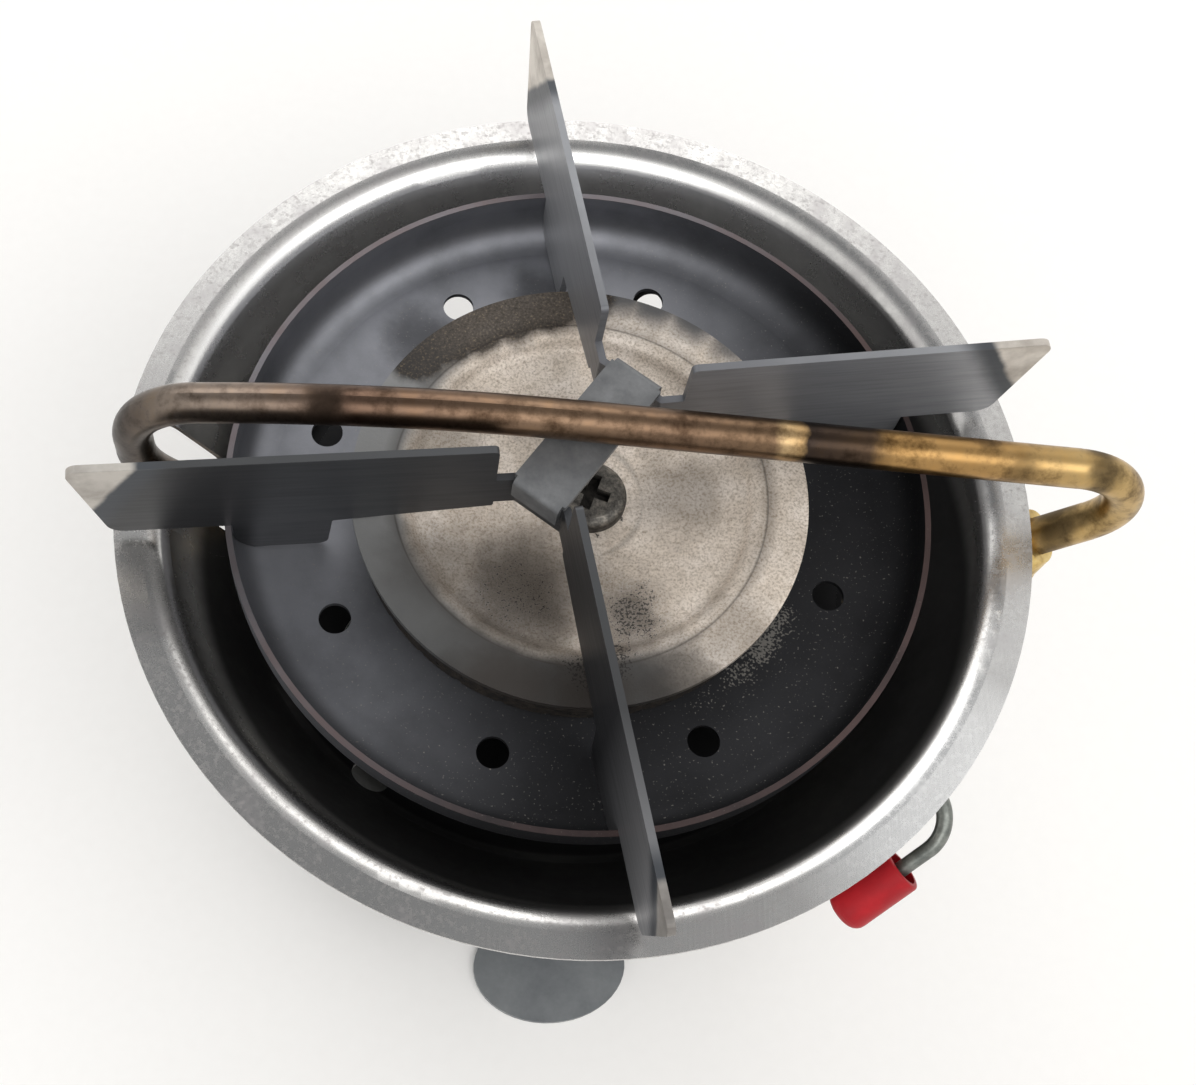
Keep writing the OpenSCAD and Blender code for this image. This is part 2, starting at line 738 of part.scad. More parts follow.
module generator_nut() {
    color("goldenrod") in_generator() aimed([elbow_x, stem_z], leg_slope)
        translate([0, 0, nut_pos]) difference() {
            union() {
                turned_hex(nut_af, nut_h);
                translate([0, 0, nut_h - sheet_lap]) cylinder(r1 = nut_af / 2, r2 = nut_neck_r, h = nut_neck_h + sheet_lap);
            }
            translate([0, 0, -1]) cylinder(r = port_r + seat, h = nut_lap + 1 + seat);
            cylinder(r = tube_r + seat, h = nut_h + nut_neck_h + 1);
        }
}

module generator_jet() {
    jet_len = 7;
    jet_lap = 4;
    color("gold") in_generator() aimed([tube_start.x - jet_lap, tube_start.y], 0) difference() {
        union() {
            hex(9, jet_lap + 1);
            cylinder(r1 = 3.4, r2 = 1.6, h = jet_len);
        }
        translate([0, 0, -1]) cylinder(r = tube_r + seat, h = jet_lap + 1 + seat);
        cylinder(r = 0.5, h = jet_len + 1);
    }
}

// Valve body: threaded nipple, hex base, riser, stem gland, arm and slanted port
module valve_body() {
    color("darkgoldenrod") difference() {
        union() {
            in_generator() {
                translate([valve_x, 0, tank_top_z - nipple_len]) cylinder(r = nipple_r, h = nipple_len + 1);
                translate([valve_x, 0, tank_top_z + seat]) {
                    hex(14, valve_base_h);
                    cylinder(r = riser_r, h = stem_z - tank_top_z);
                }
                aimed([valve_x, stem_z], 0) cylinder(r = arm_r, h = elbow_x - valve_x);
                translate([elbow_x, 0, stem_z]) sphere(arm_r + 0.5);
                aimed([elbow_x, stem_z], leg_slope) cylinder(r = port_r, h = port_len);
            }
            in_stem() {
                translate([0, 0, -chamber_r - 1]) cylinder(r = chamber_r, h = chamber_r + 1 + gland_s);
                cylinder(r = gland_r, h = gland_s + gland_len);
            }
        }
        in_generator() {
            translate([valve_x, 0, tank_top_z - nipple_len - 1]) cylinder(r = pickup_r + seat, h = nipple_len + 1);
            translate([valve_x, 0, tank_top_z - 1]) cylinder(r = passage_r, h = stem_z - tank_top_z + 1);
            aimed([valve_x, stem_z], 0) cylinder(r = passage_r - 0.2, h = elbow_x - valve_x);
            aimed([elbow_x, stem_z], leg_slope) {
                cylinder(r = passage_r - 0.4, h = port_len + 1);
                translate([0, 0, port_len - tube_in_port - seat]) cylinder(r = tube_r + seat, h = tube_in_port + 1);
            }
        }
        in_stem() translate([0, 0, -stem_r])
            cylinder(r = stem_r + running, h = gland_s + gland_len + stem_r + 1);
        translate([0, 0, tank_top_z]) cylinder(r = plateau_r + press_w + free_gap, h = plateau_h + free_gap);
    }
}

module fuel_pickup() {
    low_z = tank_lift + tank_t + 3;
    color("goldenrod") in_generator() translate([valve_x, 0, low_z]) difference() {
        cylinder(r = pickup_r, h = tank_top_z - low_z - seat - 1);
        translate([0, 0, -1]) cylinder(r = pickup_r - 0.7, h = tank_top_z);
        translate([0, 0, -pickup_r]) rotate([35, 0, 0]) cube(2.2 * pickup_r, center = true);
    }
}

// Stem: cone tip, shaft, and a hub with the socket for the lever's wire
module valve_stem() {
    color("goldenrod") in_stem() difference() {
        union() {
            translate([0, 0, -stem_r + free_gap]) cylinder(r1 = stem_r / 2, r2 = stem_r, h = stem_r - free_gap);
            cylinder(r = stem_r, h = stem_len);
            translate([0, 0, stem_len - stem_hub_len]) cylinder(r = stem_hub_r, h = stem_hub_len);
        }
        translate([0, 0, stem_len - wire_socket]) cylinder(r = wire_r + seat, h = wire_socket + 1);
    }
}

module stem_packing() {
    color("black") in_stem() translate([0, 0, gland_s + gland_len + seat])
        ring(gland_r, stem_r + running, packing_len);
}

module packing_nut() {
    nut_bore_len = gland_len + packing_len + 2 * seat;
    color("gold") in_stem() translate([0, 0, gland_s + seat]) difference() {
        turned_hex(packing_nut_af, packing_nut_len);
        translate([0, 0, -1]) cylinder(r = gland_r + seat, h = nut_bore_len + 1);
        cylinder(r = stem_r + running, h = packing_nut_len + 1);
    }
}

module lever_wire() {
    bend_s = lever_out - lever_bend_r * tan(-lever_bend / 2);
    start_s = stem_len - wire_socket + seat;
    steps = [[bend_s - start_s, 0], [lever_bend_r, lever_bend], [lever_len, 0]];
    color("slategray") in_generator() translate([valve_x, 0, stem_z]) rotate(stem_turn)
        rotate([lever_dip, 0, 0]) translate([start_s, 0, 0]) tube_path(steps, wire_r);
}

// Moulded grip: a sleeve on the wire, open and hollow at the near end, rounded at the far end
module lever_grip() {
    bend_s = lever_out - lever_bend_r * tan(-lever_bend / 2);
    grip_r = grip_d / 2;
    end_cap = 2;
    start = lever_len + end_cap - grip_len;
    color("crimson") in_generator() translate([valve_x, 0, stem_z]) rotate(stem_turn)
        rotate([lever_dip, 0, 0]) translate([bend_s, -lever_bend_r, 0]) rotate(lever_bend)
            translate([start, lever_bend_r, 0])
            rotate([0, 90, 0]) difference() {
                rotate_extrude() polygon(rounded([[0, 0, 0], [grip_r, 0, 0.6],
                    [grip_r, grip_len, 2.4], [0, grip_len, 0]]));
                translate([0, 0, -1]) cylinder(r = wire_r + seat, h = grip_len - end_cap + 1 + seat);
                translate([0, 0, -1]) cylinder(r = grip_r - 1.1, h = 5);
            }
}

// Pump
module pump_barrel() {
    color("gray") in_pump() {
        translate([0, 0, -barrel_len]) ring(barrel_r, barrel_r - barrel_t, barrel_len + barrel_out);
        translate([0, 0, 2]) ring(collar_r, barrel_r - barrel_t, barrel_out - 2);
    }
}

module barrel_cap() {
    inside = barrel_out + seat;
    color("black") in_pump() difference() {
        translate([0, 0, 1.6]) cylinder(r = barrel_cap_r, h = barrel_cap_end - 1.6);
        cylinder(r = collar_r + seat, h = inside);
        cylinder(r = rod_r + running, h = 2 * barrel_cap_end);
        for (k = [0:11]) rotate(30 * k) translate([barrel_cap_r + 0.8, 0, 0])
            cylinder(r = 1.4, h = 2 * barrel_cap_end);
    }
}

module pump_rod() {
    low_z = cup_z - retainer_h;
    color("silver") in_pump() translate([0, 0, low_z])
        cylinder(r = rod_r, h = barrel_cap_end + free_gap + knob_h * 0.6 - low_z);
}

// Knob with a dished top and a scalloped edge
module pump_knob() {
    knob_r = knob_d / 2;
    dish_ball_r = 14;
    color("black") in_pump() translate([0, 0, barrel_cap_end + free_gap]) difference() {
        rotate_extrude() polygon(rounded([[0, 0, 0], [knob_r * 0.7, 0, 1], [knob_r, knob_h * 0.3, 1.5],
            [knob_r, knob_h, 1.5], [0, knob_h, 0]]));
        translate([0, 0, -1]) cylinder(r = rod_r + seat, h = knob_h * 0.6 + 1 + seat);
        translate([0, 0, knob_h + dish_ball_r - 1.8]) sphere(dish_ball_r);
        for (k = [0:11]) rotate(30 * k) translate([knob_r + 1.2, 0, 0]) cylinder(r = 2, h = knob_h + 1);
    }
}

// Leather cup: flat washer with a skirt that opens towards the tank
module pump_cup() {
    cup_r = barrel_r - barrel_t - running;
    color("saddlebrown") in_pump() translate([0, 0, cup_z]) difference() {
        cylinder(r = cup_r, h = cup_h);
        translate([0, 0, -1]) cylinder(r = cup_r - cup_wall, h = cup_h - cup_wall + 1);
        cylinder(r = rod_r + running, h = 2 * cup_h);
    }
}

// Retainer: washer and sleeve that hold the cup on the rod
module cup_retainer() {
    cup_r = barrel_r - barrel_t - running;
    color("silver") in_pump() difference() {
        union() {
            translate([0, 0, cup_z - retainer_h]) cylinder(r = rod_r + 1, h = retainer_h + cup_h - cup_wall - seat);
            translate([0, 0, cup_z + cup_h - cup_wall - 1]) cylinder(r = cup_r - cup_wall - seat, h = 1 - seat);
        }
        translate([0, 0, -barrel_len]) cylinder(r = rod_r + running, h = barrel_len);
    }
}

// Check valve plug at the barrel's inner end, with a chamber for its ball
module check_valve() {
    chamber_len = 2 * ball_r + ball_travel + 2 * seat;
    color("goldenrod") in_pump() translate([0, 0, -barrel_len]) difference() {
        cylinder(r = barrel_r - barrel_t - seat, h = check_len);
        translate([0, 0, 1]) cylinder(r = ball_r + ball_play, h = chamber_len);
        translate([0, 0, -1]) cylinder(r = ball_r / 2, h = check_len + 2);
    }
}

module check_ball() {
    color("silver") in_pump() translate([0, 0, -barrel_len + 1 + seat + ball_r]) sphere(ball_r);
}

// Filler
module filler_neck() {
    color("silver") in_filler() translate([0, 0, -filler_in])
        ring(filler_out_r, filler_r, filler_in + filler_out);
}

module filler_cap() {
    cap_low = 2.6;
    top = filler_out + gasket_t + 3 * seat;
    shell_r = filler_cap_d / 2;
    color("silver") in_filler() difference() {
        translate([0, 0, cap_low]) rotate_extrude() polygon(rounded([[0, 0, 0], [shell_r, 0, 0.6],
            [shell_r, top + 2 - cap_low, 1.2], [0, top + 2 - cap_low, 0]]));
        translate([0, 0, cap_low - 1]) cylinder(r = filler_out_r + running, h = top - cap_low + 1);
        for (k = [0:23]) rotate(15 * k) translate([shell_r + 0.6, 0, 0]) cylinder(r = 1.1, h = 3 * filler_out);
    }
}

module filler_gasket() {
    color("black") in_filler() translate([0, 0, filler_out + seat])
        ring(filler_out_r - 0.3, 3, gasket_t);
}

// Outline of one grate arm: u runs outwards from the bend, z is the height
module arm_outline(corner, turn, reach) {
    bend_c = [dish_r - dish_t - dish_bend_r, dish_floor_z + dish_bend_r];
    wall_r = dish_bend_r - tab_gap;
    sink = asin((bend_c.y - tab_low_z) / wall_r);
    tab_arc = [for (k = [0:4]) bend_c + wall_r * unit(-sink * k / 4)];
    tab_out = [for (k = [4:-1:0]) [along_to(corner, turn, tab_arc[k].x), tab_arc[k].y, 0]];
    tab_in = along_to(corner, turn, tab_in_r);
    polygon(rounded(concat(
        [[0, neck_low_z, 0], [neck_len, neck_low_z, 0], [neck_len, arm_low_z + arm_rise, 0.5],
            [tab_in, arm_low_z, 0.5], [tab_in + 1, tab_low_z, 2]],
        tab_out,
        [[tab_out[4].x, arm_low_z, 0], [reach - end_slant, arm_low_z, 3], [reach, grate_top_z, 2],
            [neck_len, grate_top_z, 1], [neck_len, neck_top_z, 0], [0, neck_top_z, 0]])));
}

module arm(corner, turn, reach) {
    translate(corner) rotate(turn) rotate([90, 0, 0])
        linear_extrude(strip_t, center = true) arm_outline(corner, turn, reach);
}

// One bent strip: two arms joined by the slanted corner
module strip(corner, side, cross, slant, slant_len, reach) {
    far = corner + slant_len * unit(slant);
    color("dimgray") {
        arm(corner, side, reach);
        arm(far, cross, reach);
        translate(corner) rotate(slant) translate([0, -strip_t / 2, neck_low_z])
            cube([slant_len, strip_t, neck_top_z - neck_low_z]);
        for (p = [corner, far]) translate([p.x, p.y, neck_low_z])
            cylinder(r = strip_t / 2 + joint_swell, h = neck_top_z - neck_low_z);
    }
}

module grate_long() {
    strip(long_corner, long_side_turn, cross_turn - 180, corner_turn, long_corner_len, long_arm);
}

module grate_short() {
    strip(short_corner, short_side_turn, cross_turn, corner_turn + 180, short_corner_len, short_arm);
}

// Strap over both slanted corners, its ends turned down against their outer faces
module grate_strap() {
    mid_long = long_corner + long_corner_len / 2 * unit(corner_turn);
    mid_short = short_corner - short_corner_len / 2 * unit(corner_turn);
    across = unit(corner_turn + 90);
    span = (mid_short - mid_long) * across + strip_t + 2 * seat;
    middle = (mid_short + mid_long) / 2;
    steps = [[strap_lip - strap_bend_r, 0], [strap_bend_r, -90], [span - 2 * strap_bend_r, 0],
        [strap_bend_r, -90], [strap_lip - strap_bend_r, 0]];
    color("gray") translate([middle.x, middle.y, neck_top_z + seat - strap_lip])
        rotate(corner_turn + 90) {
            translate([-span / 2, strap_lip_w / 2, 0]) rotate([90, 0, 0])
                linear_extrude(strap_lip_w) rotate(90) sheet(steps, strap_t);
            translate([strap_bend_r - span / 2, -strap_w / 2, strap_lip])
                cube([span - 2 * strap_bend_r, strap_w, strap_t]);
        }
}

tank_bottom();
tank_top();
foot_front();
foot_right();
foot_left();
pedestal();
pedestal_screws();
windshield_bowl();
burner_base();
mixing_tube();
burner_dish();
wavy_ring_low();
wavy_ring_middle();
wavy_ring_top();
flat_ring_low();
flat_ring_top();
burner_cap();
cap_screw();
generator_tube();
generator_nut();
generator_jet();
valve_body();
fuel_pickup();
valve_stem();
stem_packing();
packing_nut();
lever_wire();
lever_grip();
pump_barrel();
barrel_cap();
pump_rod();
pump_knob();
pump_cup();
cup_retainer();
check_valve();
check_ball();
filler_neck();
filler_cap();
filler_gasket();
grate_long();
grate_short();
grate_strap();
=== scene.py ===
import math

import bmesh
import bpy
from mathutils import Euler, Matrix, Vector


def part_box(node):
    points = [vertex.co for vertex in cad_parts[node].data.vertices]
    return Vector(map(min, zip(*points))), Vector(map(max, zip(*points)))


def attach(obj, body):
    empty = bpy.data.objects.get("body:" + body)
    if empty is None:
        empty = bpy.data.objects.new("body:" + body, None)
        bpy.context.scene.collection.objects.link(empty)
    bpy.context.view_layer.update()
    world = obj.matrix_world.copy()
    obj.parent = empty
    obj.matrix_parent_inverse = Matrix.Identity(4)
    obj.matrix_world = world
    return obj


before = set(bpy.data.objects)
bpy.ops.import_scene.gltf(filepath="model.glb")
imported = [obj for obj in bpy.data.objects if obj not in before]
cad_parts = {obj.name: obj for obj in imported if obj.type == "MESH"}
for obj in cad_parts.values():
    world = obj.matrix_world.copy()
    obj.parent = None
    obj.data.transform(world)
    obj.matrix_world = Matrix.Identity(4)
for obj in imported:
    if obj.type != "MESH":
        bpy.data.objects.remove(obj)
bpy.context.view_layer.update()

bl_info = {
    "name": "Camping stove finish",
    "version": (1, 0, 0),
    "blender": (4, 5, 0),
    "location": "View3D > Sidebar > Stove",
    "description": "Finishes the pieces of a liquid fuel camping stove and sets its stage",
    "category": "Object",
}

MM = 0.001

# the bowl's sheet, in millimetres, with levels counted from the floor
RIM_LEVEL, RIM_RADIUS, RIM_FLAT, SHEET_THICKNESS = 114, 80, 4.4, 0.8
SHOULDER_RADIUS, SHOULDER_STEPS, WALL_SLOPE = 5.5, 8, math.radians(58.7)
RIM_Z = RIM_LEVEL * MM
# the generator's slot in it, and the degrees at which chords of its round bottom start
SLOT_RADIUS, SLOT_LEVEL, CHORD = 9.5, 102, 10
CHORDS = range(180, 250, CHORD)
# the cheek that narrows the slot: its free end, its run down the wall, and how far round the bowl it is spun
CHEEK_END, CHEEK_RUN, CHEEK_TURN, CHEEK_STEPS = 3.2, 18, math.radians(14), 24
# edges of new pieces that turn by more than this are shaded sharp
SHARP_EDGE = math.radians(40)

# the photograph's camera: its place in millimetres, its turn in degrees, its lens's shift
CAMERA_PLACE, CAMERA_TURN = (-27.56, -135.48, 395.81), (24.200, -3.922, 2.118)
CAMERA_SHIFT, SENSOR_WIDTH, CLIP = (0.0790, -0.0077), 36, (0.01, 50)
# the lamps' places and sizes in metres, and the point that they light
WINDOW_PLACE, WINDOW_SIZE = (-0.3, 1.25, 1.35), (1.7, 0.8)
CEILING_PLACE, CEILING_SIZE = (0.35, -0.75, 1.3), (1.9, 0.8)
BURNER_MIDDLE = (0, 0, 0.1)
# the way to the dark part of the ceiling, and the room's strength as light and as it is seen
DARK_CEILING, ROOM_LIGHT, ROOM_SEEN = (-0.160, 0.229, 0.960), 0.85, 1.0
# the floor lies just under the feet, and turns plain white over these distances from the stove, in metres
FLOOR_DROP, WHITE_FROM, WHITE_AT = 0.05 * MM, 0.4, 1.1


def linear(code):
    """sRGB hex as the linear colour that a socket takes."""
    channels = [int(code[i:i + 2], 16) / 255 for i in (1, 3, 5)]
    return tuple(c / 12.92 if c <= 0.04045 else ((c + 0.055) / 1.055) ** 2.4 for c in channels) + (1.0,)


def add(tree, kind, wires=None, stops=None, out=0, **settings):
    """Adds one node with its settings and gives back its output. Wires fill its sockets, by name or number:
    MapRange turns 0 from the range 1 to 2 into the range 3 to 4, and a colour Mix goes from 6 to 7 by 0."""
    made = tree.nodes.new("ShaderNode" + kind)
    for name, value in settings.items():
        setattr(made, name, value)
    for key, value in (wires or {}).items():
        socket = made.inputs[key]
        if isinstance(value, bpy.types.NodeSocket):
            tree.links.new(value, socket)
        else:
            socket.default_value = value
    if stops:
        elements = made.color_ramp.elements
        while len(elements) < len(stops):
            elements.new(1.0)
        for element, (position, colour) in zip(elements, stops):
            element.position = position
            element.color = colour
    return made.outputs[out]


def begin(name, **plain):
    """A material, its tree, its shader with plain sockets set, and its Object coordinates."""
    material = bpy.data.materials.new(name)
    material.use_nodes = True
    tree = material.node_tree
    shader = tree.nodes["Principled BSDF"]
    for socket, value in plain.items():
        shader.inputs[socket.replace("_", " ")].default_value = value
    place = add(tree, "TexCoord", out="Object")
    return material, tree, shader, place


def feed(tree, shader, **sources):
    """Links outputs to the shader's sockets."""
    for socket, source in sources.items():
        tree.links.new(source, shader.inputs[socket.replace("_", " ")])


def radius_of(tree, place):
    """Distance from the stove's upright axis."""
    flat = add(tree, "VectorMath", {0: place, 1: (1, 1, 0)}, operation="MULTIPLY")
    return add(tree, "VectorMath", {0: flat}, operation="LENGTH", out="Value")


def wandering(tree, place, size, reach):
    """The place pushed about by soft noise, so that a drawn edge looks grown and not cut."""
    drift = add(tree, "TexNoise", {"Vector": place, "Scale": 1 / size, "Detail": 4, "Roughness": 0.6},
                out="Color")
    centred = add(tree, "VectorMath", {0: drift, 1: (0.5, 0.5, 0.5)}, operation="SUBTRACT")
    return add(tree, "VectorMath", {0: centred, 1: (2 * reach,) * 3, 2: place}, operation="MULTIPLY_ADD")


def patches(tree, place, spots):
    """Soft round patches seen from above: each spot is x, y, radius in millimetres and a strength."""
    flat = add(tree, "VectorMath", {0: place, 1: (1, 1, 0)}, operation="MULTIPLY")
    total = None
    for x, y, size, strength in spots:
        gap = add(tree, "VectorMath", {0: flat, 1: (x * MM, y * MM, 0)}, operation="DISTANCE", out="Value")
        soft = add(tree, "MapRange", {0: gap, 1: 0.25 * size * MM, 2: size * MM, 3: strength, 4: 0.0},
                   interpolation_type="SMOOTHSTEP")
        total = soft if total is None else add(tree, "Math", {0: total, 1: soft}, operation="MAXIMUM")
    return total


def dress(material, *names):
    """Gives CAD nodes their finish."""
    for name in names:
        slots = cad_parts[name].data.materials
        slots.clear()
        slots.append(material)


class StoveFinish(bpy.types.PropertyGroup):
    """Colours and wear of the stove's pieces"""
    bowl_colour: bpy.props.FloatVectorProperty(
        name="Bowl", description="Bright sheet of the windshield bowl",
        subtype="COLOR", size=4, min=0, max=1, default=linear("#C2C0BD"))
    dish_colour: bpy.props.FloatVectorProperty(
        name="Dish", description="Heat-darkened sheet of the burner dish",
        subtype="COLOR", size=4, min=0, max=1, default=linear("#88898E"))
    cap_colour: bpy.props.FloatVectorProperty(
        name="Cap", description="Burnt sandy sheet of the burner cap",
        subtype="COLOR", size=4, min=0, max=1, default=linear("#E8DCCE"))
    brass_colour: bpy.props.FloatVectorProperty(
        name="Brass", description="Clean brass of the generator and the valve",
        subtype="COLOR", size=4, min=0, max=1, default=linear("#CBAE6C"))
    grate_colour: bpy.props.FloatVectorProperty(
        name="Grate", description="Dark plated strip of the grate",
        subtype="COLOR", size=4, min=0, max=1, default=linear("#6A6B6F"))
    grip_colour: bpy.props.FloatVectorProperty(
        name="Grip", description="Moulded plastic of the lever's grip",
        subtype="COLOR", size=4, min=0, max=1, default=linear("#A40B18"))
    tank_colour: bpy.props.FloatVectorProperty(
        name="Tank", description="Stove enamel of the fuel tank",
        subtype="COLOR", size=4, min=0, max=1, default=linear("#18201B"))
    foot_colour: bpy.props.FloatVectorProperty(
        name="Feet", description="Satin steel of the feet",
        subtype="COLOR", size=4, min=0, max=1, default=linear("#7B7E80"))
    # the soot amount also scales the painted shade in the bowl's channel, the cap's creases and the screw's
    # recess
    soot: bpy.props.FloatProperty(
        name="Soot", description="How much soot the burner carries",
        subtype="FACTOR", min=0, max=1, default=0.9)


class StoveStage(bpy.types.PropertyGroup):
    """Floor, light and camera"""
    floor_size: bpy.props.FloatProperty(
        name="Floor", description="Width of the floor", unit="LENGTH", min=1, default=6.0)
    floor_colour: bpy.props.FloatVectorProperty(
        name="Floor colour", description="Pale floor that keeps the stove's shadow",
        subtype="COLOR", size=4, min=0, max=1, default=linear("#FCFAF7"))
    window_power: bpy.props.FloatProperty(
        name="Window", description="Power of the soft light behind the stove",
        unit="POWER", min=0, default=7.5)
    ceiling_power: bpy.props.FloatProperty(
        name="Ceiling", description="Power of the soft light overhead",
        unit="POWER", min=0, default=9.0)
    lens: bpy.props.FloatProperty(
        name="Lens", description="Focal length of the camera", unit="CAMERA", min=10, default=54.18)


def spun_bright_sheet(look):
    """Spun steel sheet, bright plated: fine turned lines give it a ringed sheen, the rim is speckled and
    scratched with a painted highlight on it at the right in front and on the shoulder behind, and soot with
    painted shade blackens the channel."""
    material, tree, shader, place = begin("spun bright steel sheet", Anisotropic=0.3)
    radius = radius_of(tree, place)
    height = add(tree, "SeparateXYZ", {0: place}, out="Z")
    # turned lines are finer than a pixel, so they are drawn 0.7 mm apart
    lines = add(tree, "TexNoise", {"W": radius, "Scale": 1 / (0.7 * MM), "Detail": 3, "Roughness": 0.7},
                noise_dimensions="1D")
    scuff = add(tree, "TexNoise", {"Vector": place, "Scale": 1 / (9 * MM), "Detail": 9, "Roughness": 0.75})
    speckle = add(tree, "TexNoise", {"Vector": place, "Scale": 1 / (0.8 * MM), "Detail": 3, "Roughness": 0.7})
    # scratches, drawn 0.6 mm wide to show, all run one way across the bowl
    turned = add(tree, "Mapping", {"Vector": place, "Rotation": (0, 0, math.radians(38)),
                                   "Scale": (1 / (0.6 * MM), 1 / (22 * MM), 1 / (5 * MM))})
    scratch = add(tree, "TexNoise", {"Vector": turned, "Scale": 1.0, "Detail": 2, "Roughness": 0.5})
    on_rim = add(tree, "MapRange", {0: height, 1: RIM_Z - 1.1 * MM, 2: RIM_Z - 0.2 * MM},
                 interpolation_type="SMOOTHSTEP")
    tarnish = add(tree, "ValToRGB", {0: scuff}, stops=[
        (0.3, linear("#B4B0AF")), (0.5, look.bowl_colour), (0.7, linear("#D8D6D2"))])
    pits = add(tree, "MapRange", {0: speckle, 1: 0.5, 2: 0.72, 3: 0.0, 4: 0.6})
    pits = add(tree, "Math", {0: pits, 1: on_rim}, operation="MULTIPLY")
    colour = add(tree, "Mix", {0: pits, 6: tarnish, 7: linear("#8D8786")}, data_type="RGBA", out=2)
    # a painted highlight on the rim at the right in front
    painted_highlight = patches(tree, wandering(tree, place, 8 * MM, 5 * MM), [(60, -50, 34, 1.0), (76, -18, 26, 0.35)])
    painted_highlight = add(tree, "Math", {0: painted_highlight, 1: on_rim}, operation="MULTIPLY")
    # the flame drifts forward, so the soot climbs higher in front, with painted shade deep in the channel;
    # the shoulder behind carries a painted highlight
    forward = add(tree, "VectorMath", {0: place, 1: (0.5, -0.87, 0)}, operation="DOT_PRODUCT", out="Value")
    behind = add(tree, "MapRange", {0: forward, 1: -30 * MM, 2: -62 * MM, 3: 0.0, 4: 0.9})
    shoulder = add(tree, "MapRange", {0: height, 1: RIM_Z - 4.5 * MM, 2: RIM_Z - 2.5 * MM})
    shoulder = add(tree, "Math", {0: shoulder, 1: on_rim}, operation="SUBTRACT")
    shoulder = add(tree, "Math", {0: behind, 1: shoulder}, operation="MULTIPLY")
    # painted highlight, near white, on the rim at the right in front and on the shoulder behind
    clean = add(tree, "Math", {0: painted_highlight, 1: shoulder}, operation="MAXIMUM")
    colour = add(tree, "Mix", {0: clean, 6: colour, 7: linear("#F6F5F3")}, data_type="RGBA", out=2)
    clean_to = add(tree, "MapRange", {0: forward, 1: -65 * MM, 2: 60 * MM, 3: 10 * MM, 4: 0.3 * MM})
    black_from = add(tree, "MapRange", {0: forward, 1: -65 * MM, 2: 60 * MM, 3: 17 * MM, 4: 3.2 * MM})
    below = add(tree, "Math", {0: RIM_Z, 1: height}, operation="SUBTRACT")
    deep = add(tree, "MapRange", {0: below, 1: clean_to, 2: black_from}, interpolation_type="SMOOTHSTEP")
    channel_soot_and_shade = add(tree, "MapRange", {0: forward, 1: -70 * MM, 2: -10 * MM, 3: 0.6, 4: 1.0},
                interpolation_type="SMOOTHSTEP")
    channel_soot_and_shade = add(tree, "Math", {0: channel_soot_and_shade, 1: deep}, operation="MULTIPLY")
    # only the upper face of the sheet, inside the bowl, takes the soot and the painted shade
    facing = add(tree, "SeparateXYZ", {0: add(tree, "TexCoord", out="Normal")}, out="Z")
    inside = add(tree, "MapRange", {0: facing, 1: -0.05, 2: 0.1, 3: 0.12, 4: 1.0})
    channel_soot_and_shade = add(tree, "Math", {0: channel_soot_and_shade, 1: inside}, operation="MULTIPLY")
    channel_soot_and_shade = add(tree, "Math", {0: channel_soot_and_shade, 1: look.soot}, operation="MULTIPLY")
    # and soot with painted shade lies thick on the bowl's floor, under the dish
    floor_soot_and_shade = add(tree, "MapRange", {0: below, 1: 18 * MM, 2: 24 * MM, 3: 0.0, 4: 0.98})
    floor_soot_and_shade = add(tree, "Math", {0: floor_soot_and_shade, 1: inside}, operation="MULTIPLY")
    channel_soot_and_shade = add(tree, "Math", {0: channel_soot_and_shade, 1: floor_soot_and_shade}, operation="MAXIMUM")
    # soot and painted shade: near black deep in the channel and on the floor under the dish
    colour = add(tree, "Mix", {0: channel_soot_and_shade, 6: colour, 7: linear("#1E1E20")}, data_type="RGBA", out=2)
    rough = add(tree, "MapRange", {0: scuff, 1: 0.3, 2: 0.7, 3: 0.32, 4: 0.2})
    rough = add(tree, "Math", {0: pits, 1: 0.25, 2: rough}, operation="MULTIPLY_ADD")
    rough = add(tree, "Math", {0: channel_soot_and_shade, 1: 0.2, 2: rough}, operation="MULTIPLY_ADD")
    # dust dulls the wall below the shoulder, so that it takes light from the whole room
    dusty = add(tree, "MapRange", {0: below, 1: 1.5 * MM, 2: 8 * MM, 3: 1.0, 4: 0.76})
    ringed = add(tree, "Tangent", direction_type="RADIAL", axis="Z")
    relief = add(tree, "Math", {0: lines, 1: scratch}, operation="ADD")
    bump = add(tree, "Bump", {"Strength": 0.12, "Distance": 0.06 * MM, "Height": relief})
    feed(tree, shader, Base_Color=colour, Roughness=rough, Metallic=dusty, Tangent=ringed, Normal=bump)
    return material


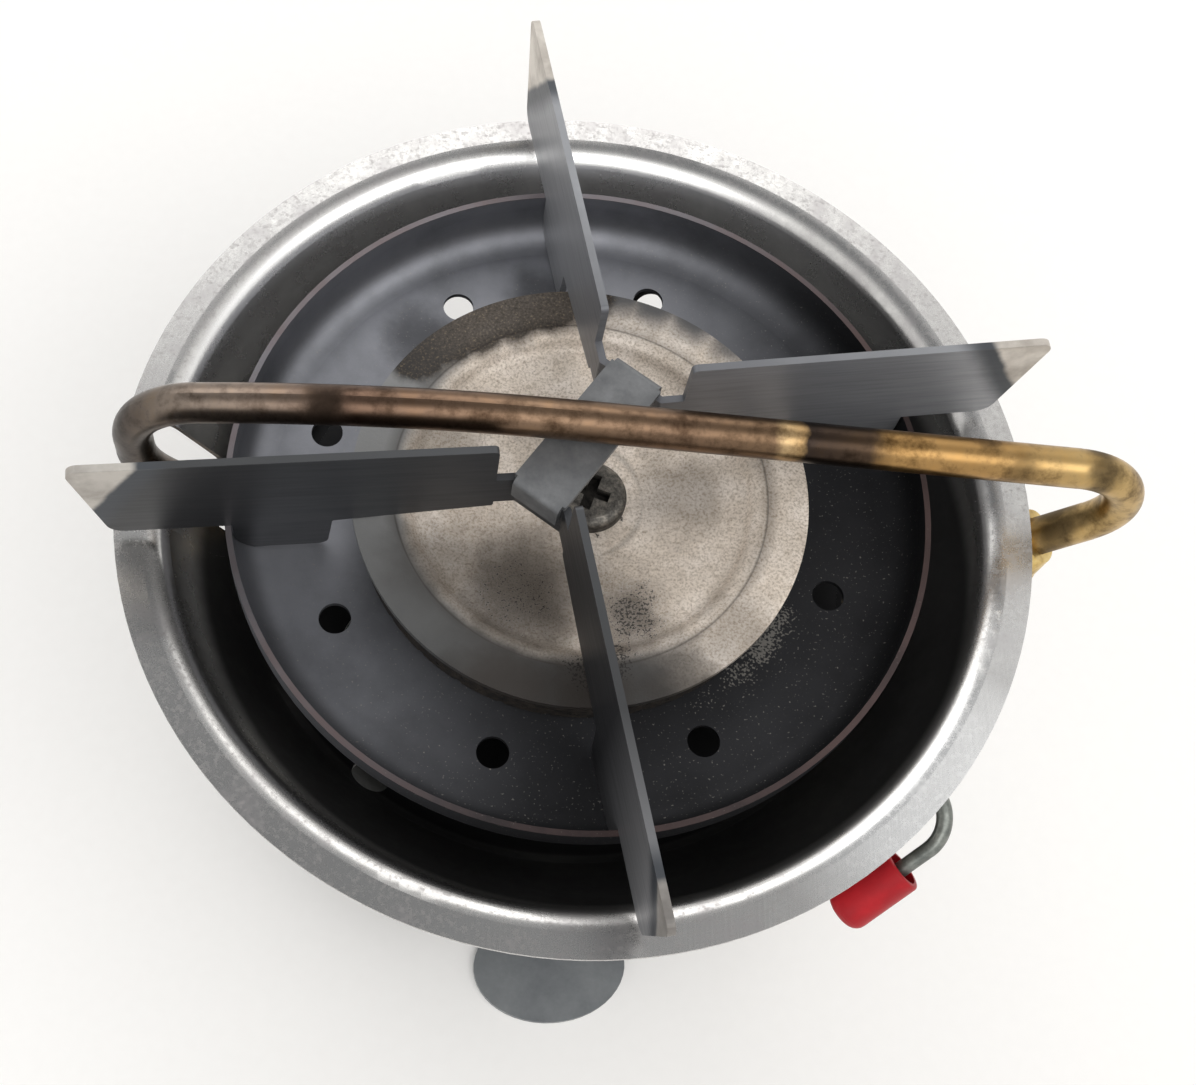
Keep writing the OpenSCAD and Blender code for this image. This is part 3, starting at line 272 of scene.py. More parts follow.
def burnt_dish_sheet(look):
    """Steel sheet blackened by heat: dark neutral grey, blackest in front and at the right, with pale
    specks of ash and a coppery line along the edge where the oxide has worn."""
    material, tree, shader, place = begin("heat-blackened dish steel", Metallic=0.85)
    radius = radius_of(tree, place)
    height = add(tree, "SeparateXYZ", {0: place}, out="Z")
    cloud = add(tree, "TexNoise", {"Vector": place, "Scale": 1 / (16 * MM), "Detail": 6, "Roughness": 0.6})
    ash = add(tree, "TexNoise", {"Vector": place, "Scale": 1 / (0.45 * MM), "Detail": 1, "Roughness": 0.5})
    bare = add(tree, "ValToRGB", {0: cloud}, stops=[
        (0.3, linear("#76777B")), (0.52, look.dish_colour), (0.72, linear("#909196"))])
    toward = add(tree, "VectorMath", {0: place, 1: (0.8, -0.6, 0)}, operation="DOT_PRODUCT", out="Value")
    black = add(tree, "MapRange", {0: toward, 1: -40 * MM, 2: 33 * MM, 3: 0.0, 4: 1.0},
                interpolation_type="SMOOTHSTEP")
    scorch = patches(tree, wandering(tree, place, 6 * MM, 3 * MM), [
        (47.5, -24, 8, 0.9), (-30, 34, 9, 0.6), (-8, 45, 8, 0.6), (4, -44, 9, 0.5), (30, 40, 10, 0.4)])
    black = add(tree, "Math", {0: black, 1: scorch}, operation="MAXIMUM")
    black = add(tree, "Math", {0: black, 1: look.soot}, operation="MULTIPLY")
    colour = add(tree, "Mix", {0: black, 6: bare, 7: linear("#121112")}, data_type="RGBA", out=2)
    # ash lies in a heap against the cap's edge, at the right in front
    heap = patches(tree, wandering(tree, place, 4 * MM, 3 * MM), [
        (36.5, -19, 6, 0.26), (34, -24, 6, 0.3), (30, -29, 6, 0.2), (25, -35, 6, 0.1)])
    against_cap = add(tree, "MapRange", {0: radius, 1: 41 * MM, 2: 43.5 * MM, 3: 1.0, 4: 0.2})
    heap = add(tree, "Math", {0: heap, 1: against_cap}, operation="MULTIPLY")
    ash = add(tree, "Math", {0: ash, 1: heap}, operation="ADD")
    flecks = add(tree, "MapRange", {0: ash, 1: 0.68, 2: 0.8, 3: 0.0, 4: 0.55})
    colour = add(tree, "Mix", {0: flecks, 6: colour, 7: linear("#9A968F")}, data_type="RGBA", out=2)
    lip_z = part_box("burner_dish")[1].z
    lip = add(tree, "MapRange", {0: height, 1: lip_z - 0.25 * MM, 2: lip_z - 0.05 * MM},
              interpolation_type="SMOOTHSTEP")
    worn = add(tree, "MapRange", {0: cloud, 1: 0.3, 2: 0.6, 3: 0.15, 4: 0.7})
    lip = add(tree, "Math", {0: lip, 1: worn}, operation="MULTIPLY")
    colour = add(tree, "Mix", {0: lip, 6: colour, 7: linear("#5F4D4A")}, data_type="RGBA", out=2)
    rough = add(tree, "MapRange", {0: cloud, 1: 0.3, 2: 0.7, 3: 0.5, 4: 0.44})
    rough = add(tree, "Math", {0: black, 1: 0.15, 2: rough}, operation="MULTIPLY_ADD")
    bump = add(tree, "Bump", {"Strength": 0.2, "Distance": 0.06 * MM, "Height": ash})
    feed(tree, shader, Base_Color=colour, Roughness=rough, Normal=bump)
    return material


def sandy_cap_sheet(look):
    """Steel sheet burnt by the flame: bare cool grey on the left of the flange, a dry sandy scale on the
    rest, brown soot hazes, painted shade in its creases, black grains, and a smoked edge and a crust of soot
    at the back."""
    material, tree, shader, place = begin("burnt sandy cap steel", Metallic=0.3)
    radius = radius_of(tree, place)
    strayed = wandering(tree, place, 6 * MM, 4 * MM)
    cloud = add(tree, "TexNoise", {"Vector": place, "Scale": 1 / (9 * MM), "Detail": 8, "Roughness": 0.7})
    grain = add(tree, "TexNoise", {"Vector": place, "Scale": 1 / (0.45 * MM), "Detail": 3, "Roughness": 0.7})
    scale = add(tree, "ValToRGB", {0: cloud}, stops=[
        (0.3, linear("#CFC4B8")), (0.46, look.cap_colour), (0.62, linear("#FBF1E6"))])
    sand = add(tree, "ValToRGB", {0: grain}, stops=[
        (0.32, linear("#C2BBB2")), (0.54, linear("#FAF8F6")), (0.7, linear("#FFFFFF"))])
    scale = add(tree, "Mix", {0: 1.0, 6: scale, 7: sand}, data_type="RGBA", blend_type="MULTIPLY", out=2)
    around = radius_of(tree, wandering(tree, place, 5 * MM, 0.7 * MM))
    on_flange = add(tree, "MapRange", {0: around, 1: 29.5 * MM, 2: 33 * MM}, interpolation_type="SMOOTHSTEP")
    leftward = add(tree, "VectorMath", {0: strayed, 1: (-0.8, -0.6, 0)}, operation="DOT_PRODUCT", out="Value")
    bare = add(tree, "MapRange", {0: leftward, 1: -6 * MM, 2: 12 * MM}, interpolation_type="SMOOTHSTEP")
    bare = add(tree, "Math", {0: bare, 1: on_flange}, operation="MULTIPLY")
    ahead = add(tree, "SeparateXYZ", {0: strayed}, out="Y")
    ahead = add(tree, "MapRange", {0: ahead, 1: -40 * MM, 2: 0.0})
    sheet = add(tree, "ValToRGB", {0: ahead}, stops=[(0.1, linear("#3E3E3D")), (0.8, linear("#868685"))])
    colour = add(tree, "Mix", {0: bare, 6: scale, 7: sheet}, data_type="RGBA", out=2)
    # the flange's edge behind is smoked grey
    smoked = patches(tree, wandering(tree, place, 5 * MM, 1.5 * MM), [
        (6, 41, 10.5, 1.0), (13, 39.5, 10.5, 1.0), (20, 36.5, 9.5, 1.0), (27, 31.5, 8, 0.9),
        (32.5, 25.5, 6, 0.7)])
    colour = add(tree, "Mix", {0: smoked, 6: colour, 7: linear("#4C4B4B")}, data_type="RGBA", out=2)
    soot_haze_and_crease_shade = patches(tree, strayed, [
        (9.5, -22, 8, 0.8), (-9, -18, 21, 0.92), (-22, -14, 15, 0.66), (7, -24, 14, 0.72), (18, 2, 12, 0.46),
        (-24, 8, 10, 0.4), (2, -37, 14, 0.85), (-12, -37, 15, 0.8), (17, -36, 13, 0.7), (27, -25, 11, 0.5),
        (0, -5, 9, 0.3)])
    soot = patches(tree, strayed, [
        (9.5, -22, 8, 0.8), (6, -30, 7, 0.9), (11, -18, 6, 0.7), (-10, -19, 12, 0.55), (7.4, -3.9, 1.4, 1.0),
        (3.1, -6.3, 1.3, 1.0), (1, -33, 6, 0.8)])
    # painted shade in the crease round the screw and at the foot of the dome's edge, drawn as dark rings
    for crease, width, strength in ((11.2, 1.0, 0.4), (32.9, 2.0, 0.5), (32.6, 0.6, 0.85)):
        off = add(tree, "Math", {0: radius, 1: crease * MM}, operation="SUBTRACT")
        off = add(tree, "Math", {0: off}, operation="ABSOLUTE")
        line = add(tree, "MapRange", {0: off, 1: 0.0, 2: width * MM, 3: strength, 4: 0.0})
        soot_haze_and_crease_shade = add(tree, "Math", {0: soot_haze_and_crease_shade, 1: line}, operation="MAXIMUM")
    soot_haze_and_crease_shade = add(tree, "Math", {0: soot_haze_and_crease_shade, 1: look.soot}, operation="MULTIPLY")
    # soot hazes and the creases' painted shade darken the colour
    colour = add(tree, "Mix", {0: soot_haze_and_crease_shade, 6: colour, 7: linear("#322B25")}, data_type="RGBA", out=2)
    # the grains lie closer together where there is soot
    gather = add(tree, "Math", {0: soot, 1: 0.27}, operation="MULTIPLY")
    low = add(tree, "Math", {0: 0.72, 1: gather}, operation="SUBTRACT")
    high = add(tree, "Math", {0: 0.76, 1: gather}, operation="SUBTRACT")
    grains = add(tree, "MapRange", {0: grain, 1: low, 2: high})
    grains = add(tree, "Math", {0: grains, 1: look.soot}, operation="MULTIPLY")
    colour = add(tree, "Mix", {0: grains, 6: colour, 7: linear("#1C1815")}, data_type="RGBA", out=2)
    crust = patches(tree, wandering(tree, place, 2.5 * MM, 1.2 * MM), [
        (-30, 24.5, 7.5, 0.9), (-26, 28.5, 8.5, 1.0), (-20.5, 32, 9.5, 1.0), (-14, 35, 9.5, 1.0),
        (-7, 37, 8.5, 1.0), (0, 38.5, 7, 0.9)])
    crust = add(tree, "MapRange", {0: crust, 1: 0.04, 2: 0.45, 3: 0.0, 4: look.soot})
    crumbs = add(tree, "ValToRGB", {0: grain}, stops=[
        (0.35, linear("#16120F")), (0.58, linear("#30271F")), (0.72, linear("#77684F"))])
    colour = add(tree, "Mix", {0: crust, 6: colour, 7: crumbs}, data_type="RGBA", out=2)
    rough = add(tree, "MapRange", {0: cloud, 1: 0.3, 2: 0.7, 3: 0.42, 4: 0.54})
    rough = add(tree, "Math", {0: bare, 1: -0.04, 2: rough}, operation="MULTIPLY_ADD")
    rough = add(tree, "Math", {0: crust, 1: 0.3, 2: rough}, operation="MULTIPLY_ADD")
    lumps = add(tree, "Math", {0: grain, 1: crust, 2: grain}, operation="MULTIPLY_ADD")
    bump = add(tree, "Bump", {"Strength": 0.35, "Distance": 0.1 * MM, "Height": lumps})
    feed(tree, shader, Base_Color=colour, Roughness=rough, Normal=bump)
    return material


def sooted_casting(name, colour_low, colour_high):
    """Iron under soot: nearly black, dry and grainy, with a little brown where it has flaked."""
    material, tree, shader, place = begin(name, Metallic=0.3)
    grain = add(tree, "TexNoise", {"Vector": place, "Scale": 1 / (1.2 * MM), "Detail": 5, "Roughness": 0.65})
    colour = add(tree, "ValToRGB", {0: grain}, stops=[
        (0.35, linear(colour_low)), (0.7, linear(colour_high))])
    rough = add(tree, "MapRange", {0: grain, 1: 0.3, 2: 0.7, 3: 0.6, 4: 0.85})
    bump = add(tree, "Bump", {"Strength": 0.5, "Distance": 0.15 * MM, "Height": grain})
    feed(tree, shader, Base_Color=colour, Roughness=rough, Normal=bump)
    return material


def mottled_screw_steel(look):
    """Plated screw that has been through the fire: mottled grey with soot and painted shade in its recess."""
    material, tree, shader, place = begin("fire-mottled screw steel", Metallic=0.7)
    height = add(tree, "SeparateXYZ", {0: place}, out="Z")
    mottle = add(tree, "TexNoise", {"Vector": place, "Scale": 1 / (1.6 * MM), "Detail": 5, "Roughness": 0.7})
    colour = add(tree, "ValToRGB", {0: mottle}, stops=[
        (0.34, linear("#33302E")), (0.5, linear("#5E5B56")), (0.68, linear("#8C867D"))])
    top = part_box("cap_screw")[1].z
    # soot and painted shade darken it below the head's top, in its recess
    recess_soot_and_shade = add(tree, "MapRange", {0: height, 1: top - 1.6 * MM, 2: top - 0.7 * MM, 3: 0.9, 4: 0.0})
    recess_soot_and_shade = add(tree, "Math", {0: recess_soot_and_shade, 1: look.soot}, operation="MULTIPLY")
    colour = add(tree, "Mix", {0: recess_soot_and_shade, 6: colour, 7: linear("#141210")}, data_type="RGBA", out=2)
    rough = add(tree, "MapRange", {0: mottle, 1: 0.3, 2: 0.7, 3: 0.65, 4: 0.4})
    bump = add(tree, "Bump", {"Strength": 0.4, "Distance": 0.1 * MM, "Height": mottle})
    feed(tree, shader, Base_Color=colour, Roughness=rough, Normal=bump)
    return material


def heat_stained_brass(look):
    """Drawn brass tube stained by the flame: dark bronze and brown over the burner, a bright band where
    the stain ends, a dark one beyond it, clean gold at the loop, and soot blotches along it."""
    material, tree, shader, place = begin("flame-stained brass tube", Metallic=1.0)
    strayed = wandering(tree, place, 4 * MM, 2 * MM)
    along = add(tree, "SeparateXYZ", {0: strayed}, out="X")
    # the stain's tones by millimetres along the tube, from the left bend to the loop
    west, east = -86, 98
    share = add(tree, "MapRange", {0: along, 1: west * MM, 2: east * MM})
    stain = [
        (west, "#3A3431"), (-78, "#4C4540"), (-70, "#857A70"), (-58, "#8E7F73"), (-40, "#6C574A"),
        (-8, "#836C58"), (14, "#755F4D"), (30, "#755F4A"), (31.5, "#C2A67C"), (34, "#A98C63"),
        (35.5, "#352D29"), (46, "#4A3C30"), (50, "#AE8A58"), (66, "#A88656"), (84, "#C0A470")]
    stops = [((x - west) / (east - west), linear(code)) for x, code in stain]
    colour = add(tree, "ValToRGB", {0: share}, stops=stops)
    cloud = add(tree, "TexNoise", {"Vector": place, "Scale": 1 / (5 * MM), "Detail": 7, "Roughness": 0.7})
    shade = add(tree, "ValToRGB", {0: cloud}, stops=[
        (0.3, linear("#8E8780")), (0.52, linear("#F2F0EE")), (0.75, linear("#FFF6E6"))])
    colour = add(tree, "Mix", {0: 1.0, 6: colour, 7: shade}, data_type="RGBA", blend_type="MULTIPLY", out=2)
    soot = patches(tree, strayed, [
        (-44, 3, 5.5, 0.95), (85.7, 5, 4.5, 0.85), (86, 1, 4.5, 0.8), (66, 4, 3, 0.6), (72, 0.5, 4, 0.5)])
    soot = add(tree, "Math", {0: soot, 1: look.soot}, operation="MULTIPLY")
    colour = add(tree, "Mix", {0: soot, 6: colour, 7: linear("#2C241E")}, data_type="RGBA", out=2)
    rough = add(tree, "MapRange", {0: cloud, 1: 0.3, 2: 0.7, 3: 0.42, 4: 0.27})
    rough = add(tree, "Math", {0: soot, 1: 0.3, 2: rough}, operation="MULTIPLY_ADD")
    fine = add(tree, "TexNoise", {"Vector": place, "Scale": 1 / (0.9 * MM), "Detail": 3})
    bump = add(tree, "Bump", {"Strength": 0.15, "Distance": 0.06 * MM, "Height": fine})
    feed(tree, shader, Base_Color=colour, Roughness=rough, Normal=bump)
    return material


def turned_brass(look):
    """Turned brass: warm gold, with tarnish in brown clouds."""
    material, tree, shader, place = begin("turned brass", Metallic=1.0)
    cloud = add(tree, "TexNoise", {"Vector": place, "Scale": 1 / (4 * MM), "Detail": 6, "Roughness": 0.65})
    colour = add(tree, "ValToRGB", {0: cloud}, stops=[
        (0.3, linear("#8F7442")), (0.52, look.brass_colour), (0.75, linear("#E2CB92"))])
    rough = add(tree, "MapRange", {0: cloud, 1: 0.3, 2: 0.7, 3: 0.45, 4: 0.25})
    feed(tree, shader, Base_Color=colour, Roughness=rough)
    return material


def dark_plated_strip(name, look, tip_radius):
    """Dark plated steel strip: near-black grey with faint drawn streaks, paler with painted light on the arms
    behind and darker with soot and painted shade on the left and front ones, a painted highlight along the
    top edge, and bleached by the flame at the tips inside a dark blue border."""
    material, tree, shader, place = begin(name, Metallic=0.35)
    height = add(tree, "SeparateXYZ", {0: place}, out="Z")
    drawn = add(tree, "Mapping", {"Vector": place, "Scale": (1 / (14 * MM), 1 / (14 * MM), 1 / (0.7 * MM))})
    streak = add(tree, "TexNoise", {"Vector": drawn, "Scale": 1.0, "Detail": 4, "Roughness": 0.6})
    cloud = add(tree, "TexNoise", {"Vector": place, "Scale": 1 / (9 * MM), "Detail": 5, "Roughness": 0.6})
    # painted light makes the arms behind paler; soot and painted shade darken the left and front ones to the
    # rim
    back = add(tree, "VectorMath", {0: place, 1: (0.35, 1.0, 0)}, operation="DOT_PRODUCT", out="Value")
    share = add(tree, "MapRange", {0: back, 1: -95 * MM, 2: 60 * MM})
    colour = add(tree, "ValToRGB", {0: share}, stops=[
        (0.12, linear("#8A8A8C")), (0.32, linear("#28282A")), (0.45, linear("#323335")),
        (0.56, linear("#3E3F42")), (0.74, look.grate_colour), (0.9, linear("#939497"))])
    worn = add(tree, "ValToRGB", {0: streak}, stops=[(0.3, linear("#E8E8E9")), (0.6, linear("#FFFFFF"))])
    colour = add(tree, "Mix", {0: 1.0, 6: colour, 7: worn}, data_type="RGBA", blend_type="MULTIPLY", out=2)
    # the bleached part ends in a curve that sags toward the middle of the strip
    reach = radius_of(tree, wandering(tree, place, 12 * MM, 1.5 * MM))
    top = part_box("grate_long")[1].z
    sag = add(tree, "MapRange", {0: height, 1: top - 22 * MM, 2: top, 3: 13 * MM, 4: 0.0}, clamp=False)
    reach = add(tree, "Math", {0: reach, 1: sag}, operation="SUBTRACT")
    reach = add(tree, "Math", {0: reach, 1: -tip_radius}, operation="ADD")
    border = add(tree, "MapRange", {0: reach, 1: -17 * MM, 2: -12 * MM}, interpolation_type="SMOOTHSTEP")
    colour = add(tree, "Mix", {0: border, 6: colour, 7: linear("#30343A")}, data_type="RGBA", out=2)
    bleached = add(tree, "MapRange", {0: reach, 1: -11 * MM, 2: -9.5 * MM}, interpolation_type="SMOOTHSTEP")
    ashes = add(tree, "ValToRGB", {0: cloud}, stops=[
        (0.3, linear("#A0978D")), (0.6, linear("#DDD6CC"))])
    # the left tip is bleached less than the two behind, and the front one least
    for axis, least in (("X", 0.66), ("Y", 0.4)):
        side = add(tree, "SeparateXYZ", {0: place}, out=axis)
        thin = add(tree, "MapRange", {0: side, 1: -80 * MM, 2: -40 * MM, 3: least, 4: 1.0})
        bleached = add(tree, "Math", {0: bleached, 1: thin}, operation="MULTIPLY")
    colour = add(tree, "Mix", {0: bleached, 6: colour, 7: ashes}, data_type="RGBA", out=2)
    # a painted highlight along the top edge
    painted_highlight = add(tree, "MapRange", {0: height, 1: top - 0.4 * MM, 2: top - 0.05 * MM, 3: 0.0, 4: 0.1})
    colour = add(tree, "Mix", {0: painted_highlight, 6: colour, 7: linear("#8E9090")}, data_type="RGBA", out=2)
    rough = add(tree, "MapRange", {0: streak, 1: 0.3, 2: 0.7, 3: 0.46, 4: 0.38})
    rough = add(tree, "Math", {0: bleached, 1: 0.15, 2: rough}, operation="MULTIPLY_ADD")
    bump = add(tree, "Bump", {"Strength": 0.08, "Distance": 0.05 * MM, "Height": streak})
    feed(tree, shader, Base_Color=colour, Roughness=rough, Normal=bump)
    return material


def dull_sheet_steel(name, tones, metallic, roughness, cloud_mm=6.0):
    """Plain sheet or rod steel, rolled and dulled by handling: soft clouds of tones from dark to pale, and
    fine grit."""
    material, tree, shader, place = begin(name, Metallic=metallic)
    cloud = add(tree, "TexNoise", {"Vector": place, "Scale": 1 / (cloud_mm * MM), "Detail": 7,
                                   "Roughness": 0.68})
    grit = add(tree, "TexNoise", {"Vector": place, "Scale": 1 / (0.8 * MM), "Detail": 2})
    colour = add(tree, "ValToRGB", {0: cloud}, stops=list(zip((0.3, 0.5, 0.7), tones)))
    rough = add(tree, "MapRange", {0: cloud, 1: 0.3, 2: 0.7, 3: roughness[0], 4: roughness[1]})
    bump = add(tree, "Bump", {"Strength": 0.12, "Distance": 0.05 * MM, "Height": grit})
    feed(tree, shader, Base_Color=colour, Roughness=rough, Normal=bump)
    return material


def red_moulded_plastic(look):
    """Moulded plastic: even red with a soft sheen, slightly paler where fingers rub it."""
    material, tree, shader, place = begin(
        "red moulded plastic", Metallic=0.0, IOR=1.49, Specular_IOR_Level=0.3)
    cloud = add(tree, "TexNoise", {"Vector": place, "Scale": 1 / (5 * MM), "Detail": 4})
    colour = add(tree, "ValToRGB", {0: cloud}, stops=[
        (0.35, linear("#960B17")), (0.55, look.grip_colour), (0.75, linear("#B4141F"))])
    rough = add(tree, "MapRange", {0: cloud, 1: 0.3, 2: 0.7, 3: 0.42, 4: 0.55})
    grit = add(tree, "TexNoise", {"Vector": place, "Scale": 1 / (0.7 * MM), "Detail": 2})
    bump = add(tree, "Bump", {"Strength": 0.1, "Distance": 0.05 * MM, "Height": grit})
    feed(tree, shader, Base_Color=colour, Roughness=rough, Normal=bump)
    return material


def black_moulded_plastic():
    """Moulded phenolic plastic: black, with a fine matte grain."""
    material, tree, shader, place = begin("black moulded plastic", Metallic=0.0, IOR=1.5)
    grit = add(tree, "TexNoise", {"Vector": place, "Scale": 1 / (0.9 * MM), "Detail": 3})
    colour = add(tree, "ValToRGB", {0: grit}, stops=[(0.35, linear("#151515")), (0.7, linear("#262524"))])
    rough = add(tree, "MapRange", {0: grit, 1: 0.3, 2: 0.7, 3: 0.38, 4: 0.52})
    bump = add(tree, "Bump", {"Strength": 0.15, "Distance": 0.06 * MM, "Height": grit})
    feed(tree, shader, Base_Color=colour, Roughness=rough, Normal=bump)
    return material


def stove_enamel(look):
    """Baked green enamel on steel: satin, with a slight orange peel, chipped to bare steel along the seam,
    and with painted shade under the bowl's vents."""
    material, tree, shader, place = begin(
        "baked green enamel", Metallic=0.0, IOR=1.52, Coat_Weight=0.1, Specular_IOR_Level=0.35)
    peel = add(tree, "TexNoise", {"Vector": place, "Scale": 1 / (1.8 * MM), "Detail": 2})
    cloud = add(tree, "TexNoise", {"Vector": place, "Scale": 1 / (22 * MM), "Detail": 5})
    chips = add(tree, "TexNoise", {"Vector": place, "Scale": 1 / (3.2 * MM), "Detail": 6, "Roughness": 0.7})
    colour = add(tree, "ValToRGB", {0: cloud}, stops=[
        (0.3, linear("#141A16")), (0.5, look.tank_colour), (0.75, linear("#202A23"))])
    # painted shade on the tank under the bowl's vents
    painted_vent_shade = patches(tree, wandering(tree, place, 5 * MM, 2 * MM), [(-34, -37, 14, 0.95), (34, -37, 12, 0.6)])
    colour = add(tree, "Mix", {0: painted_vent_shade, 6: colour, 7: linear("#070706")}, data_type="RGBA", out=2)
    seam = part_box("tank_bottom")[1].x
    radius = radius_of(tree, place)
    lip = add(tree, "MapRange", {0: radius, 1: seam - 1.2 * MM, 2: seam})
    bare = add(tree, "Math", {0: chips, 1: lip}, operation="MULTIPLY")
    bare = add(tree, "MapRange", {0: bare, 1: 0.52, 2: 0.57})
    colour = add(tree, "Mix", {0: bare, 6: colour, 7: linear("#7C7A76")}, data_type="RGBA", out=2)
    rough = add(tree, "MapRange", {0: cloud, 1: 0.3, 2: 0.7, 3: 0.28, 4: 0.42})
    bump = add(tree, "Bump", {"Strength": 0.1, "Distance": 0.1 * MM, "Height": peel})
    feed(tree, shader, Base_Color=colour, Roughness=rough, Normal=bump)
    return material


def oiled_leather():
    """Oiled leather of the pump's cup: brown, with a fine pebbled grain."""
    material, tree, shader, place = begin("oiled leather", Metallic=0.0, IOR=1.5)
    pebble = add(tree, "TexVoronoi", {"Vector": place, "Scale": 1 / (0.9 * MM)}, out="Distance")
    cloud = add(tree, "TexNoise", {"Vector": place, "Scale": 1 / (4 * MM), "Detail": 4})
    colour = add(tree, "ValToRGB", {0: cloud}, stops=[(0.3, linear("#3C2616")), (0.7, linear("#6A4526"))])
    rough = add(tree, "MapRange", {0: cloud, 1: 0.3, 2: 0.7, 3: 0.45, 4: 0.6})
    bump = add(tree, "Bump", {"Strength": 0.3, "Distance": 0.1 * MM, "Height": pebble})
    feed(tree, shader, Base_Color=colour, Roughness=rough, Normal=bump)
    return material


class STOVE_OT_finish_tank(bpy.types.Operator):
    """Enamels the tank and finishes its feet"""
    bl_idname = "stove.finish_tank"
    bl_label = "Finish tank and feet"

    def execute(self, context):
        look = context.scene.stove_finish
        dress(stove_enamel(look), "tank_bottom", "tank_top")
        tones = linear("#6C6F72"), look.foot_colour, linear("#888B8C")
        feet = dull_sheet_steel("satin foot steel", tones, 0.4, (0.55, 0.45), 12.0)
        dress(feet, "foot_front", "foot_right", "foot_left")
        return {"FINISHED"}


class STOVE_OT_finish_bowl(bpy.types.Operator):
    """Finishes the windshield bowl and the pedestal under it"""
    bl_idname = "stove.finish_bowl"
    bl_label = "Finish bowl and pedestal"

    def execute(self, context):
        look = context.scene.stove_finish
        dress(spun_bright_sheet(look), "windshield_bowl")
        tones = linear("#7F7E7B"), linear("#9A9995"), linear("#B3B2AE")
        plated = dull_sheet_steel("plated pedestal steel", tones, 1.0, (0.5, 0.35))
        dress(plated, "pedestal", "pedestal_screws")
        return {"FINISHED"}


class STOVE_OT_fit_cheek(bpy.types.Operator):
    """Narrows the generator's slot in front with a cheek that carries on the bowl's sheet"""
    bl_idname = "stove.fit_cheek"
    bl_label = "Fit slot cheek"

    def execute(self, context):
        shape = bmesh.new()
        corners = [shape.verts.new((-radius * MM, 0, level * MM)) for radius, level in self.profile()]
        edges = [shape.edges.new(pair) for pair in zip(corners, corners[1:])]
        bmesh.ops.spin(shape, geom=corners + edges, cent=(0, 0, 0), axis=(0, 0, 1),
                       angle=CHEEK_TURN, steps=CHEEK_STEPS, use_merge=False)
        # cut to its free end, to the slot's side and, chord by chord, to the slot's round bottom
        self.trim(shape, (-CHEEK_END, 0), (1, 0))
        self.trim(shape, (-SLOT_RADIUS, 0), (-1, 0))
        for turn in CHORDS:
            start, middle = math.radians(turn), math.radians(turn + CHORD / 2)
            self.trim(shape, (SLOT_RADIUS * math.cos(start), SLOT_LEVEL + SLOT_RADIUS * math.sin(start)),
                      (math.cos(middle), math.sin(middle)))
        bmesh.ops.recalc_face_normals(shape, faces=shape.faces)
        if sum(face.normal.z for face in shape.faces) < 0:
            bmesh.ops.reverse_faces(shape, faces=shape.faces)
        bmesh.ops.solidify(shape, geom=shape.faces[:], thickness=SHEET_THICKNESS * MM)
        mesh = bpy.data.meshes.new("slot_cheek")
        shape.to_mesh(mesh)
        shape.free()
        mesh.shade_smooth()
        mesh.set_sharp_from_angle(angle=SHARP_EDGE)
        mesh.materials.append(bpy.data.materials["spun bright steel sheet"])
        cheek = bpy.data.objects.new("slot_cheek", mesh)
        context.scene.collection.objects.link(cheek)
        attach(cheek, "stove")
        return {"FINISHED"}

    def profile(self):
        """The bowl's upper face from the rim inwards: flat, shoulder, wall."""
        inner, centre = RIM_RADIUS - RIM_FLAT, RIM_LEVEL - SHOULDER_RADIUS
        points = [(RIM_RADIUS, RIM_LEVEL)]
        for step in range(SHOULDER_STEPS + 1):
            turn = WALL_SLOPE * step / SHOULDER_STEPS
            points.append((inner - SHOULDER_RADIUS * math.sin(turn),
                           centre + SHOULDER_RADIUS * math.cos(turn)))
        radius, level = points[-1]
        points.append((radius - CHEEK_RUN * math.cos(WALL_SLOPE), level - CHEEK_RUN * math.sin(WALL_SLOPE)))
        return points

    def trim(self, shape, point, outward):
        """Cuts away what lies outward of a point, both given by y and level."""
        bmesh.ops.bisect_plane(
            shape, geom=shape.verts[:] + shape.edges[:] + shape.faces[:], clear_outer=True,
            plane_co=(0, point[0] * MM, point[1] * MM), plane_no=(0, *outward))


class STOVE_OT_finish_burner(bpy.types.Operator):
    """Finishes the dish, the cap, the rings and the casting"""
    bl_idname = "stove.finish_burner"
    bl_label = "Finish burner"

    def execute(self, context):
        look = context.scene.stove_finish
        dress(burnt_dish_sheet(look), "burner_dish")
        dress(sandy_cap_sheet(look), "burner_cap")
        dress(mottled_screw_steel(look), "cap_screw")
        dress(sooted_casting("sooted burner rings", "#131110", "#3A332C"),
              "wavy_ring_low", "wavy_ring_middle", "wavy_ring_top", "flat_ring_low", "flat_ring_top")
        dress(sooted_casting("sooted burner casting", "#1F1D1C", "#4A4540"), "burner_base", "mixing_tube")
        return {"FINISHED"}


class STOVE_OT_finish_generator(bpy.types.Operator):
    """Stains the generator tube and finishes its brass fittings"""
    bl_idname = "stove.finish_generator"
    bl_label = "Finish generator"

    def execute(self, context):
        look = context.scene.stove_finish
        dress(heat_stained_brass(look), "generator_tube")
        dress(turned_brass(look), "generator_nut", "generator_jet", "valve_body", "fuel_pickup", "valve_stem",
              "packing_nut", "check_valve")
        return {"FINISHED"}


class STOVE_OT_finish_lever(bpy.types.Operator):
    """Finishes the lever's wire, its grip and the stem's packing"""
    bl_idname = "stove.finish_lever"
    bl_label = "Finish lever"

    def execute(self, context):
        look = context.scene.stove_finish
        tones = linear("#565956"), linear("#71746F"), linear("#8F918B")
        dress(dull_sheet_steel("dull lever wire", tones, 0.8, (0.45, 0.3), 3.0), "lever_wire")
        dress(red_moulded_plastic(look), "lever_grip")
        dress(sooted_casting("black graphite packing", "#0E0E0E", "#242424"), "stem_packing", "filler_gasket")
        return {"FINISHED"}


